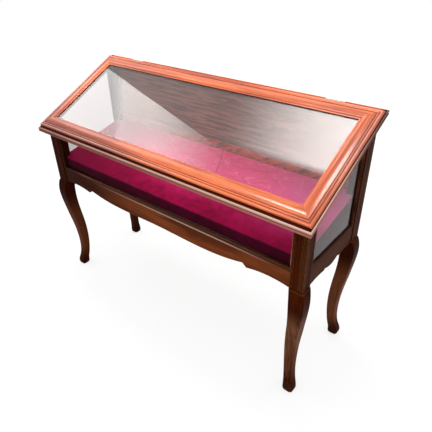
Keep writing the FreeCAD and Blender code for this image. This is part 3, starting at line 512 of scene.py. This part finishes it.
def bead_wear_and_gleam(tree, place):
    """Less wear and painted highlight at the left end and along the lower beads."""
    high = ramp(tree, axes(tree, place)["Z"], *over_joint(LOWER_BEAD))
    return times(tree, left_end_wear_and_gleam(tree, place), between(tree, high, 0.25, 1.0))


def ends_dark(tree, across, left_end):
    """How much darker the wood is over the left end of the case and, as painted shade, on its right
    side.
    """
    left = times(tree, fall(tree, across, *left_end), 0.92)
    return calc(tree, "MAXIMUM", left, times(tree, ramp(tree, across, *SHADED_RIGHT_SIDE), 0.80))


def bead_colours(tree, place, tone, base):
    """Darker wood at the left end of the case and, as painted shade, on its right side; a painted
    dark reflection along the lower beads; and painted shade in the joint under them."""
    settings = bpy.context.scene.table_wood
    parts = axes(tree, place)
    # The lower beads are darker: a painted dark reflection.
    low = fall(tree, parts["Z"], *over_joint(LOWER_BEAD))
    darker = ends_dark(tree, parts["X"], DARK_BEADS)
    darker = calc(tree, "MAXIMUM", darker, times(tree, low, 0.66))
    base = mixed(tree, darker, base, settings.post_dark)
    # Painted shade in the joint under the beads.
    joint = fall(tree, parts["Z"], *over_joint(BEAD_JOINT))
    return mixed(tree, times(tree, joint, 0.8), base, settings.dirt_and_shade)


def rail_colours(tree, place, tone, base):
    """Darker wood at the left end of the case and, as painted shade, on its right side, a painted
    highlight along the rails near their top, and painted shade over the joint above them. What lies
    higher, as the inner beads do, is as dark as that shade."""
    settings = bpy.context.scene.table_wood
    parts = axes(tree, place)
    darker = ends_dark(tree, parts["X"], DARK_RAILS)
    base = mixed(tree, darker, base, settings.post_dark)
    # A painted highlight along the rails near their top.
    highlight_line = times(tree, ramp(tree, parts["Z"], *over_joint(RAIL_HIGHLIGHT)), 0.55)
    highlight_line = times(tree, highlight_line, ramp(tree, parts["X"], *HIGHLIGHT_STARTS))
    highlight_line = times(tree, highlight_line, fall(tree, parts["X"], *HIGHLIGHT_ENDS))
    base = mixed(tree, highlight_line, base, settings.pale_reed_and_highlight)
    # Painted shade over the joint and on all that lies higher, such as the inner beads.
    joint = ramp(tree, parts["Z"], *over_joint(RAIL_JOINT))
    return mixed(tree, times(tree, joint, 0.8), base, settings.dirt_and_shade)


def strip_colours(tree, place, tone, base):
    """Browner wood towards the left end of the strip."""
    settings = bpy.context.scene.table_wood
    left = fall(tree, axes(tree, place)["X"], *DARK_STRIP)
    return mixed(tree, times(tree, left, 0.85), base, settings.panel_brown)


def leg_colours(tree, place, tone, base):
    """Dark posts and knees, shins paler with a painted highlight that is strongest on the front
    right leg, the other legs darker as painted shade, and dark feet.
    """
    settings = bpy.context.scene.table_wood
    parts = axes(tree, place)
    ragged = plus(tree, parts["Z"], times(tree, tone, 0.02))
    shin = figured(tree, tone, settings.shin_lit, settings.shin_lit_streaks)
    # The front right leg takes the most painted light and the back left leg the least.
    lit_share = minus(tree, times(tree, parts["X"], 0.35), parts["Y"])
    back_left, front_right = -0.32, 0.42
    lit_share = ramp(tree, lit_share, back_left, front_right)
    shin = mixed(tree, lit_share, settings.case_red, shin)
    # Painted shade on the legs away from the front right.
    leg_shade = times(tree, minus(tree, 1.0, lit_share), 0.75)
    base = mixed(tree, leg_shade, base, settings.post_dark)
    # The painted highlight on the shins.
    low = fall(tree, ragged, *LIT_SHIN)
    base = mixed(tree, times(tree, low, between(tree, lit_share, 0.12, 1.0)), base, shin)
    foot = fall(tree, ragged, *DARK_FOOT)
    return mixed(tree, times(tree, foot, 0.85), base, settings.post_dark)


def rim_colours(tree, place, tone, base):
    """Rubbed reeds along the outer edge, the upper one paler with a painted highlight and both
    brighter towards the right as painted light, with dirt and painted shade in the quirk between
    them and painted shade on the right side towards the back.
    """
    settings = bpy.context.scene.table_wood
    parts = axes(tree, place)
    low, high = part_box("rim_left")[0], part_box("rim_right")[1]
    inside_x = minus(tree, high.x, calc(tree, "ABSOLUTE", parts["X"]))
    inside_y = minus(tree, high.y, calc(tree, "ABSOLUTE", parts["Y"]))
    inside = calc(tree, "MINIMUM", inside_x, inside_y)
    # Height over the reeds' foot, which follows the slope from the front edge.
    rise = times(tree, minus(tree, parts["Y"], low.y), math.tan(settings.slope))
    over = minus(tree, minus(tree, parts["Z"], low.z), rise)
    # The upper reed takes the pale colour with its painted highlight.
    upper = ramp(tree, over, *[settings.reed * count for count in UPPER_REED])
    # The reeds are paler from the left end to the right: painted light that grows towards the
    # right.
    half_length = 0.6
    lit_towards_right = plus(tree, parts["X"], half_length)
    pale = mixed(tree, lit_towards_right, settings.reed_dull, settings.pale_reed_and_highlight)
    pale = mixed(tree, times(tree, tone, 0.3), pale, settings.reed_dull)
    lower = mixed(tree, lit_towards_right, [c * 0.4 for c in settings.reed_dull], settings.reed_dull)
    reeds = mixed(tree, upper, lower, pale)
    # Dirt and painted shade in the quirk between the reeds.
    quirk = calc(tree, "ABSOLUTE", minus(tree, over, settings.reed))
    dirt_and_shade = fall(tree, quirk, *QUIRK)
    reeds = mixed(tree, times(tree, dirt_and_shade, 0.75), reeds, settings.rim_dark)
    shaded = ramp(tree, parts["X"], *SHADED_X)
    shaded = times(tree, shaded, ramp(tree, parts["Y"], *SHADED_Y))
    reeds = mixed(tree, times(tree, shaded, 0.8), reeds, settings.rim_dark)
    base = mixed(tree, ramp(tree, inside, *REEDS_END), reeds, base)
    behind = ramp(tree, parts["Y"], *[high.y - depth for depth in BACK_MEMBER])
    behind = times(tree, behind, ramp(tree, inside_x, *BACK_CORNERS))
    return mixed(tree, behind, base, figured(tree, tone, settings.lid_red, settings.lid_dark))


# ---- velvet, glass and metal ----
def cloth_seam(tree, place, settings):
    """1 along the crease that crosses the velvet, 0 away from it."""
    head, foot = Vector(settings.crease_head), Vector(settings.crease_foot)
    run = (foot - head).normalized()
    parts = axes(tree, place)
    across = times(tree, minus(tree, parts["X"], head.x), run.y)
    across = minus(tree, across, times(tree, minus(tree, parts["Y"], head.y), run.x))
    near = fall(tree, calc(tree, "ABSOLUTE", across), *CREASE_EDGE)
    return times(tree, near, ramp(tree, parts["Y"], foot.y - CREASE_FADE, foot.y))


def top_colours(tree, parts, lean, broad):
    """The velvet's colour on the board: paler towards the back as painted light, but not at its
    left end or front, and with a painted lilac haze of lamplight at the right end.

    With it come the lean of the pile and the ragged depth on the board that it follows."""
    settings = bpy.context.scene.table_cloth
    reach = ramp(tree, parts["X"], *LIT_FROM)
    lean = times(tree, lean, calc(tree, "MAXIMUM", 0.05, reach))
    less_lit = mixed(tree, lean, settings.pile_dark, settings.pile)
    right = times(tree, ramp(tree, parts["X"], *DARK_RIGHT), 0.45)
    less_lit = mixed(tree, right, less_lit, settings.pile_dark)
    # Painted light towards the back, with a painted haze at the right end.
    paled = mixed(tree, lean, settings.paled_dark, settings.paled)
    paled = mixed(tree, ramp(tree, parts["X"], *LAMP_HAZE_FROM), paled, settings.lamp_haze)
    depth = plus(tree, parts["Y"], times(tree, broad, 0.06))
    shares = times(tree, ramp(tree, depth, *LIT_BEHIND), reach)
    return mixed(tree, shares, less_lit, paled), lean, depth


def velvet(name):
    """Crushed velvet: pile that leans this way and that, with bright tips, paler towards the back
    as painted light and darker on the skirts as painted shade."""
    settings = bpy.context.scene.table_cloth
    material, tree, output = blank(name)
    place = object_place(tree)
    parts = axes(tree, place)
    crushed = cloudy(tree, place, CRUSHED_PILE, 5.0, 0.7)
    broad = cloudy(tree, place, BROAD_PILE, 3.0)
    tufts = cloudy(tree, place, TUFTS, 2.0)
    lean = ramp(tree, blended(tree, crushed, broad, PILE_SHARES), *LEANING_PILE)
    base, lean, depth = top_colours(tree, parts, lean, broad)
    pit = mixed(tree, 1.0, base, (0.45, 0.35, 0.40), "MULTIPLY")
    base = mixed(tree, times(tree, ramp(tree, tufts, *DARK_TUFTS), 0.10), base, pit)
    # Painted shade on the upright skirts.
    facing = add(tree, "ShaderNodeNewGeometry").outputs["Normal"]
    hanging, lying = 0.05, 0.60
    shaded_upright = fall(tree, axes(tree, facing)["Z"], hanging, lying)
    skirt = mixed(tree, lean, [c * 0.6 for c in settings.skirt], settings.skirt)
    base = mixed(tree, shaded_upright, base, skirt)
    middle, half_width = 0.5, 0.012
    wrinkle = minus(tree, cloudy(tree, place, WRINKLES, 3.0), middle)
    wrinkle = fall(tree, calc(tree, "ABSOLUTE", wrinkle), 0.0, half_width)
    wrinkle = times(tree, wrinkle, ramp(tree, depth, *WRINKLED_BEHIND))
    base = mixed(tree, times(tree, wrinkle, 0.55), base, settings.wrinkle)
    seam = cloth_seam(tree, place, settings)
    base = mixed(tree, times(tree, seam, 0.8), base, settings.pile)
    height = blended(tree, crushed, tufts, (2.0, 0.02))
    bump = add(
        tree, "ShaderNodeBump", {"Height": height, "Strength": 0.30, "Distance": 0.0012},
    ).outputs[0]
    shader = add(tree, "ShaderNodeBsdfPrincipled", {
        "Base Color": base, "Roughness": 0.9, "Normal": bump, "Specular IOR Level": 0.1,
        "Sheen Weight": 0.05, "Sheen Roughness": 0.35, "Sheen Tint": (*settings.sheen, 1.0),
    })
    show(tree, shader, output)
    return material


def glass(name, tint, index):
    """Window glass that lets lamplight through. index sets how much it mirrors and bends."""
    settings = bpy.context.scene.table_glass
    material, tree, output = blank(name)
    shader = add(tree, "ShaderNodeBsdfPrincipled", {
        "Base Color": (*tint, 1.0), "Roughness": 0.0, "IOR": index, "Transmission Weight": 1.0,
    })
    clear = add(tree, "ShaderNodeBsdfTransparent", {"Color": (*settings.through, 1.0)})
    path = add(tree, "ShaderNodeLightPath")
    lamplight = calc(tree, "MAXIMUM", path.outputs["Is Shadow Ray"], path.outputs["Is Diffuse Ray"])
    both = shaders_mixed(tree, lamplight, shader, clear)
    show(tree, both, output)
    return material


def metal(name, bright, dull, roughness):
    """Old metal, tarnished in patches and rubbed bright along its edges."""
    settings = bpy.context.scene.table_wood
    material, tree, output = blank(name)
    place = object_place(tree)
    patches = cloudy(tree, place, TARNISH, 5.0, 0.65)
    scratches = cloudy(tree, place, SCRATCHES, 2.0)
    base = mixed(tree, ramp(tree, patches, *TARNISHED), bright, dull)
    base = mixed(tree, worn_and_highlit_edge(tree, settings.arris), base, bright)
    bump = add(
        tree, "ShaderNodeBump", {"Height": scratches, "Strength": 0.15, "Distance": 0.0002},
    ).outputs[0]
    shader = add(tree, "ShaderNodeBsdfPrincipled", {
        "Base Color": base, "Metallic": 1.0, "Normal": bump,
        "Roughness": between(tree, patches, roughness, roughness + 0.3),
    })
    show(tree, shader, output)
    return material


def dress(nodes, material):
    """Gives CAD nodes a finish."""
    for name in nodes:
        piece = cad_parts[name]
        if not piece.material_slots:
            piece.data.materials.append(material)
        for slot in piece.material_slots:
            slot.material = material


# ---- the velvet's mesh ----
class Fold:
    """Points across a cloth in one direction: a skirt, a rounded edge, the top, and so on.

    Each point is (place, drop, hang): drop is how far the rounded edge has fallen there, and
    hang goes from 0 at the head of the skirt to 1 at its hem."""

    def __init__(self, low, high, settings, low_skirt, high_skirt, stops=()):
        radius = settings.edge
        start = low + radius if low_skirt else low
        end = high - radius if high_skirt else high
        marks = sorted({start, end, *[s for s in stops if start < s < end]})
        flat = []
        for a, b in zip(marks, marks[1:]):
            count = max(1, round((b - a) / settings.mesh))
            flat += [(a + (b - a) * i / count, 0.0, 0.0) for i in range(count)]
        flat.append((end, 0.0, 0.0))
        self.points = self.skirt(low, 1, radius) * low_skirt + flat
        self.points += self.skirt(high, -1, radius)[::-1] * high_skirt

    @staticmethod
    def skirt(edge, inward, radius, rows=14, bends=4):
        """The hem first, then up to the rounded edge."""
        hanging = [(edge, radius, 1 - i / rows) for i in range(rows)]
        bend = []
        for i in range(bends):
            turn = math.pi / 2 * (1 - i / bends)
            reach = radius * (1 - math.sin(turn))
            bend.append((edge + inward * reach, radius * (1 - math.cos(turn)), 0.0))
        return hanging + bend


def velvet_cloth(settings):
    """The cloth over the display board and its risers, cut round the four posts."""
    low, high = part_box("velvet_cover")
    post_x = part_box("riser_front")[1].x
    post_front, post_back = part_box("riser_left")[0].y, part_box("riser_left")[1].y
    hem = low.z
    rise = math.tan(settings.board_slope)
    across = Fold(low.x, high.x, settings, True, True, (-post_x, post_x)).points
    along = Fold(low.y, high.y, settings, True, False, (post_front, post_back)).points
    head = Vector(settings.crease_head)
    run = Vector(settings.crease_foot) - head
    crease_width = 0.004
    hair = 1e-6

    def waves(x, y, scale, layer):
        """Noise over the board, from 0 to 1. The scale is per metre along X and Y."""
        return 0.5 + 0.5 * noise.noise(Vector((x * scale[0], y * scale[1], layer)))

    def lift(x, y):
        """How far the cloth stands off the board: slack in places, tight along the crease."""
        slack = 0.75 * waves(x, y, (7, 9), 0.3) + 0.25 * waves(x, y, (31, 26), 1.7)
        part = max(0.0, min(1.0, (Vector((x, y)) - head).dot(run) / run.length_squared))
        far = (Vector((x, y)) - head - run * part).length
        return settings.lift * max(0.0, slack - math.exp(-((far / crease_width) ** 2)))

    mesh = bmesh.new()
    grid = {}
    for i, (x, drop_x, hang_x) in enumerate(across):
        for j, (y, drop_y, hang_y) in enumerate(along):
            past_post = abs(x) > post_x + hair
            beside_post = past_post and not post_front - hair < y < post_back + hair
            before_post = hang_y + drop_y > 0 and past_post
            over_side = hang_x + drop_x > 0 and beside_post
            if (hang_x + drop_x > 0 and hang_y + drop_y > 0) or before_post or over_side:
                continue
            top = high.z - (high.y - y) * rise
            z = top - drop_x - drop_y
            hang = max(hang_x, hang_y)
            if hang > 0:
                z -= hang * (z - hem)
            else:
                z += lift(x, y)
            grid[i, j] = mesh.verts.new((x, y, z))
    for i in range(len(across) - 1):
        for j in range(len(along) - 1):
            corners = [(i, j), (i + 1, j), (i + 1, j + 1), (i, j + 1)]
            middle_x = (across[i][0] + across[i + 1][0]) / 2
            middle_y = (along[j][0] + along[j + 1][0]) / 2
            in_post = abs(middle_x) > post_x and not post_front < middle_y < post_back
            if in_post or any(c not in grid for c in corners):
                continue
            mesh.faces.new([grid[c] for c in corners])
    bmesh.ops.delete(mesh, geom=[v for v in mesh.verts if not v.link_faces], context="VERTS")
    bmesh.ops.recalc_face_normals(mesh, faces=mesh.faces)
    if sum(f.normal.z * f.calc_area() for f in mesh.faces) < 0:
        bmesh.ops.reverse_faces(mesh, faces=mesh.faces)
    cut = sum(f.calc_area() for f in mesh.faces)
    for face in mesh.faces:
        face.smooth = True
    data = bpy.data.meshes.new("velvet_cloth")
    mesh.to_mesh(data)
    mesh.free()
    return data, cut


def thickened(name, data, thickness):
    """An object of a sheet with its thickness added inwards."""
    piece = bpy.data.objects.new(name, data)
    bpy.context.scene.collection.objects.link(piece)
    solid = piece.modifiers.new("thickness", "SOLIDIFY")
    solid.thickness = thickness
    solid.offset = -1.0
    shown = piece.evaluated_get(bpy.context.evaluated_depsgraph_get())
    piece.data = bpy.data.meshes.new_from_object(shown)
    piece.modifiers.clear()
    return piece


# ---- stage ----
def white_to_the_eye(tree):
    """1 for rays that show the surroundings to the eye, straight or by gloss or glass."""
    path = add(tree, "ShaderNodeLightPath")
    seen = calc(tree, "MAXIMUM", path.outputs["Is Camera Ray"], path.outputs["Is Glossy Ray"])
    return calc(tree, "MAXIMUM", seen, path.outputs["Is Transmission Ray"])


def floor_material(pale):
    """A pale floor that is white to the eye and keeps the table's shadow."""
    material, tree, output = blank("pale_floor")
    mottle = 0.03
    # The light that falls on the open floor, against the room's white.
    lamplight = 0.85
    speckle = cloudy(tree, object_place(tree), SPECKLE, 3.0)
    tone = between(tree, speckle, pale * (1 - mottle), pale * (1 + mottle))
    flat = add(tree, "ShaderNodeBsdfDiffuse", {"Color": mixed(tree, tone, (0, 0, 0), (1, 1, 1))})
    unlit = 1.0 - pale * lamplight
    glow = add(tree, "ShaderNodeEmission", {"Color": (1, 1, 1, 1), "Strength": unlit})
    shown = add(tree, "ShaderNodeAddShader", {0: flat.outputs[0], 1: glow.outputs[0]})
    seen = white_to_the_eye(tree)
    both = shaders_mixed(tree, seen, flat, shown)
    show(tree, both, output)
    return material


def light_the_room(ambient):
    """An even white room."""
    world = bpy.data.worlds.new("white_room")
    world.use_nodes = True
    tree = world.node_tree
    tree.nodes.clear()
    strength = between(tree, white_to_the_eye(tree), ambient, 1.0)
    back = add(tree, "ShaderNodeBackground", {"Color": (1, 1, 1, 1), "Strength": strength})
    out = add(tree, "ShaderNodeOutputWorld")
    show(tree, back, out)
    bpy.context.scene.world = world


def softbox(name, corner, across, along, strength, fades, gleam=False):
    """A lamp behind a cloth, from a corner and two edges.

    fades are the shares of the lamp over which its light dies away: at the near and far end of
    the edge across, then of the edge along. A gleam lamp shows only as a reflection."""
    corner, across, along = Vector(corner), Vector(across), Vector(along)
    mesh = bpy.data.meshes.new(name)
    points = [corner, corner + across, corner + across + along, corner + along]
    mesh.from_pydata([tuple(p) for p in points], [], [(0, 1, 2, 3)])
    layer = mesh.uv_layers.new(name="UVMap")
    for loop, uv in zip(layer.data, ((0, 0), (1, 0), (1, 1), (0, 1))):
        loop.uv = uv
    lamp = bpy.data.objects.new(name, mesh)
    bpy.context.scene.collection.objects.link(lamp)
    material, tree, output = blank(name)
    parts = axes(tree, add(tree, "ShaderNodeTexCoord").outputs["UV"])
    near_x, far_x = parts["X"], minus(tree, 1.0, parts["X"])
    near_y, far_y = parts["Y"], minus(tree, 1.0, parts["Y"])
    lit = 1.0
    for distance, fade in zip((near_x, far_x, near_y, far_y), fades):
        if fade > 0:
            lit = times(tree, ramp(tree, distance, 0.0, fade), lit)
    warm_white = (1.0, 0.985, 0.965, 1.0)
    glow = add(tree, "ShaderNodeEmission", {"Color": warm_white, "Strength": strength})
    clear = add(tree, "ShaderNodeBsdfTransparent")
    shown = shaders_mixed(tree, lit, clear, glow)
    show(tree, shown, output)
    mesh.materials.append(material)
    lamp.visible_camera = False
    lamp.visible_shadow = False
    lamp.visible_diffuse = not gleam
    lamp.visible_transmission = not gleam


def place_camera(settings):
    """The camera at its place, turned to the table."""
    azimuth, elevation, roll = settings.azimuth, settings.elevation, settings.roll
    level = math.cos(elevation)
    back = Vector((math.sin(azimuth) * level, -math.cos(azimuth) * level, math.sin(elevation)))
    right = Vector((math.cos(azimuth), math.sin(azimuth), 0))
    up = back.cross(right)
    side = right * math.cos(roll) + up * math.sin(roll)
    head = up * math.cos(roll) - right * math.sin(roll)
    data = bpy.data.cameras.new("camera")
    data.sensor_width = 36.0
    data.lens = settings.lens
    camera = bpy.data.objects.new("camera", data)
    bpy.context.scene.collection.objects.link(camera)
    turn = Matrix((side, head, back)).transposed().to_4x4()
    camera.matrix_world = Matrix.Translation(settings.camera) @ turn
    bpy.context.scene.camera = camera


# ---- operators ----
class PolishLid(bpy.types.Operator):
    """Polish the lid frame, and darken the beads under its glass as a painted shadow line"""
    bl_idname = "display_table.polish_lid"
    bl_label = "Polish the lid"

    def execute(self, context):
        look = context.scene.table_wood
        for grain, places in (("x", ENDS), ("slope", SIDES)):
            finish = wood(
                "lid_mahogany", grain, look.lid_red, look.lid_dark,
                polish=0.5, shine=0.24, wear_and_gleam=0.4, contrast=(0.39, 0.56), recolour=lid_colours,
            )
            dress([f"lid_frame_{p}" for p in places], finish)
            # The beads take the dark post wood as a painted shadow along the glass's edge.
            beads = wood("lid_bead_painted_shadow", grain, look.post_red, look.post_dark, polish=0.2)
            dress([f"lid_bead_{p}" for p in places], beads)
        return {"FINISHED"}


class PolishRim(bpy.types.Operator):
    """Polish the moulding round the top of the case"""
    bl_idname = "display_table.polish_rim"
    bl_label = "Polish the rim"

    def execute(self, context):
        look = context.scene.table_wood
        for grain, places in (("x", ENDS), ("slope", SIDES)):
            finish = wood(
                "rim_mahogany", grain, look.rim_brown, look.rim_dark,
                polish=0.0, shine=0.24, index=1.14, wear_and_gleam=0.1, recolour=rim_colours,
            )
            dress([f"rim_{p}" for p in places], finish)
        return {"FINISHED"}


class PolishLegs(bpy.types.Operator):
    """Polish the four legs and darken their feet"""
    bl_idname = "display_table.polish_legs"
    bl_label = "Polish the legs"

    def execute(self, context):
        look = context.scene.table_wood
        finish = wood(
            "leg_mahogany", "z", look.post_red, look.post_dark, polish=0.0,
            shine=0.26, index=1.06, wear_and_gleam=0.9, wear_and_gleam_width=0.0018, rubbed_and_lit=look.rubbed_and_lit, recolour=leg_colours,
            worn_and_lit=left_end_wear_and_gleam,
        )
        dress([f"leg_{c}" for c in CORNERS], finish)
        return {"FINISHED"}


class PolishRails(bpy.types.Operator):
    """Polish the shaped rails, the top rail and the glazing beads"""
    bl_idname = "display_table.polish_rails"
    bl_label = "Polish the rails"

    def execute(self, context):
        look = context.scene.table_wood
        along = ["apron_front", "apron_back", "back_top_rail"]
        across = [f"apron_{s}" for s in SIDES]
        for grain, rails, panes in (("x", along, ("front",)), ("y", across, SIDES)):
            finish = wood(
                "rail_mahogany", grain, look.case_red, look.case_dark,
                polish=0.0, shine=0.26, index=1.07, wear_and_gleam=0.5, wear_and_gleam_width=0.0024, rubbed_and_lit=look.rubbed_and_lit,
                lines=(9.0, 290.0), contrast=(0.41, 0.58), recolour=rail_colours, worn_and_lit=left_end_wear_and_gleam,
            )
            beads = wood(
                "bead_mahogany", grain, look.bead_brown, look.case_dark,
                polish=0.0, shine=0.20, index=1.15, wear_and_gleam=0.8, wear_and_gleam_width=0.0024, rubbed_and_lit=look.bead_rubbed_and_lit,
                recolour=bead_colours, worn_and_lit=bead_wear_and_gleam,
            )
            dress(rails + [f"inner_beads_{p}" for p in panes], finish)
            dress([f"outer_beads_{p}" for p in panes], beads)
        return {"FINISHED"}


class StainBack(bpy.types.Operator):
    """Stain the back panel and the strip over the edge of the velvet"""
    bl_idname = "display_table.stain_back"
    bl_label = "Stain the back"

    def execute(self, context):
        look = context.scene.table_wood
        panel = wood(
            "back_veneer", "x", look.panel_brown, look.panel_dark, polish=0.0, shine=0.42,
            wear_and_gleam=0.1, waves=(9.0, 110.0), lines=(30.0, 520.0), contrast=(0.37, 0.62),
        )
        strip = wood(
            "strip_mahogany", "ribbon", look.strip_red, look.strip_dark, polish=0.0, shine=0.45,
            wear_and_gleam=0.2, waves=(22.0, 110.0), lines=(50.0, 300.0), contrast=(0.40, 0.56),
            recolour=strip_colours,
        )
        dress(["back_panel"], panel)
        dress(["retaining_strip"], strip)
        return {"FINISHED"}


class FinishCarcase(bpy.types.Operator):
    """Give the boards, battens and blocks inside the case their sawn finish"""
    bl_idname = "display_table.finish_carcase"
    bl_label = "Finish the carcase"

    def execute(self, context):
        look = context.scene.table_wood
        along = ["case_floor", "display_board", "riser_front", "floor_battens", "corner_blocks"]
        across = ["riser_left", "riser_right", "board_bearers"]
        for grain, pieces in (("x", along), ("y", across)):
            light, dark = look.deal, look.deal_dark
            dress(pieces, wood("deal", grain, light, dark, polish=0.0, shine=0.62, wear_and_gleam=0.1))
        return {"FINISHED"}


class GlazeCase(bpy.types.Operator):
    """Put glass in the lid, the front and the two sides"""
    bl_idname = "display_table.glaze_case"
    bl_label = "Glaze the case"

    def execute(self, context):
        look = context.scene.table_glass
        dress(["lid_glass"], glass("lid_window_glass", look.lid_tint, look.lid_index))
        front = glass("front_window_glass", look.front_tint, look.front_index)
        dress(["glass_front"], front)
        side = glass("side_window_glass", look.side_tint, look.side_index)
        dress([f"glass_{s}" for s in SIDES], side)
        return {"FINISHED"}


class LayVelvet(bpy.types.Operator):
    """Lay the velvet over the display board and down its front and sides"""
    bl_idname = "display_table.lay_velvet"
    bl_label = "Lay the velvet"

    def execute(self, context):
        settings = context.scene.table_cloth
        data, cut = velvet_cloth(settings)
        cloth = thickened("velvet_cloth", data, settings.thickness)
        cloth.data.materials.clear()
        cloth.data.materials.append(velvet("crimson_velvet"))
        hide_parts("velvet_cover")
        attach(cloth, CASE)
        return {"FINISHED"}


class FitHinges(bpy.types.Operator):
    """Give the hinges, their pins and their screws the look of old brass"""
    bl_idname = "display_table.fit_hinges"
    bl_label = "Fit the hinges"

    def execute(self, context):
        look = context.scene.table_metal
        brass = metal("aged_brass", look.brass, look.tarnish, 0.28)
        parts = [f"hinge_{part}_{s}" for part in ("case_leaf", "lid_leaf", "pin") for s in SIDES]
        dress(parts + ["hinge_screws_case", "hinge_screws_lid"], brass)
        return {"FINISHED"}


class DriveScrews(bpy.types.Operator):
    """Give the screws of the floor and the strip the look of dull steel"""
    bl_idname = "display_table.drive_screws"
    bl_label = "Drive the screws"

    def execute(self, context):
        look = context.scene.table_metal
        steel = metal("dull_steel", look.steel, look.rust, 0.42)
        dress(["floor_screws", "retaining_strip_screws"], steel)
        return {"FINISHED"}


class SetStage(bpy.types.Operator):
    """Set up the floor, the lamps, the room and the camera"""
    bl_idname = "display_table.set_stage"
    bl_label = "Set the stage"

    def execute(self, context):
        settings = context.scene.table_stage
        reach = 9.0
        mesh = bpy.data.meshes.new("floor")
        corners = [(-reach, -reach, 0), (reach, -reach, 0), (reach, reach, 0), (-reach, reach, 0)]
        mesh.from_pydata(corners, [], [(0, 1, 2, 3)])
        mesh.materials.append(floor_material(settings.floor))
        floor = bpy.data.objects.new("floor", mesh)
        context.scene.collection.objects.link(floor)
        light_the_room(settings.ambient)
        softbox(
            "side_lamp", corner=(-1.654, 0.361, 1.730), across=(0.910, -0.257, 0.472),
            along=(0.100, -0.900, 0.300), strength=settings.side_light,
            fades=(0.12, 0.67, 0.0, 0.2),
        )
        softbox(
            "side_gleam", corner=(-2.208, 0.520, 1.465), across=(0.682, -0.193, 0.354),
            along=(0.160, -1.440, 0.480), strength=settings.side_light,
            fades=(0.1, 0.0, 0.0, 0.2), gleam=True,
        )
        softbox(
            "top_lamp", corner=(0.15, 0.65, 2.20), across=(-1.10, 0.0, 0.0),
            along=(0.0, -0.50, 0.0), strength=settings.top_light,
            fades=(0.0, 1.0, 0.0, 0.14),
        )
        softbox(
            "front_gleam", corner=(0.10, -1.30, 2.20), across=(-0.80, 0.0, 0.10),
            along=(0.0, 0.55, 0.10), strength=settings.gleam,
            fades=(0.3, 0.3, 0.3, 0.3), gleam=True,
        )
        softbox(
            "right_gleam", corner=(1.20, -0.10, 2.20), across=(-0.55, 0.0, 0.10),
            along=(0.0, 0.52, 0.0), strength=settings.gleam,
            fades=(0.3, 0.3, 0.3, 0.3), gleam=True,
        )
        place_camera(settings)
        context.scene.view_settings.view_transform = "Standard"
        return {"FINISHED"}


OPERATORS = (
    PolishLid, PolishRim, PolishLegs, PolishRails, StainBack, FinishCarcase,
    GlazeCase, LayVelvet, FitHinges, DriveScrews, SetStage,
)


class DisplayTablePanel(bpy.types.Panel):
    """Lists the steps that finish the table"""
    bl_idname = "VIEW3D_PT_display_table"
    bl_label = "Display Table"
    bl_space_type = "VIEW_3D"
    bl_region_type = "UI"
    bl_category = "Display Table"

    def draw(self, context):
        for step in OPERATORS:
            self.layout.operator(step.bl_idname)
        for name in SETTINGS:
            box = self.layout.box()
            settings = getattr(context.scene, name)
            for key in settings.bl_rna.properties.keys():
                if key not in ("rna_type", "name"):
                    box.prop(settings, key)


SETTINGS = {
    "table_wood": WoodSettings,
    "table_cloth": ClothSettings,
    "table_glass": GlassSettings,
    "table_metal": MetalSettings,
    "table_stage": StageSettings,
}


def register():
    for name, group in SETTINGS.items():
        bpy.utils.register_class(group)
        setattr(bpy.types.Scene, name, PointerProperty(type=group))
    for step in OPERATORS:
        bpy.utils.register_class(step)
    bpy.utils.register_class(DisplayTablePanel)


def unregister():
    bpy.utils.unregister_class(DisplayTablePanel)
    for step in reversed(OPERATORS):
        bpy.utils.unregister_class(step)
    for name, group in SETTINGS.items():
        delattr(bpy.types.Scene, name)
        bpy.utils.unregister_class(group)


def main():
    register()
    for step in OPERATORS:
        group, name = step.bl_idname.split(".")
        getattr(getattr(bpy.ops, group), name)()


if __name__ == "__main__":
    main()
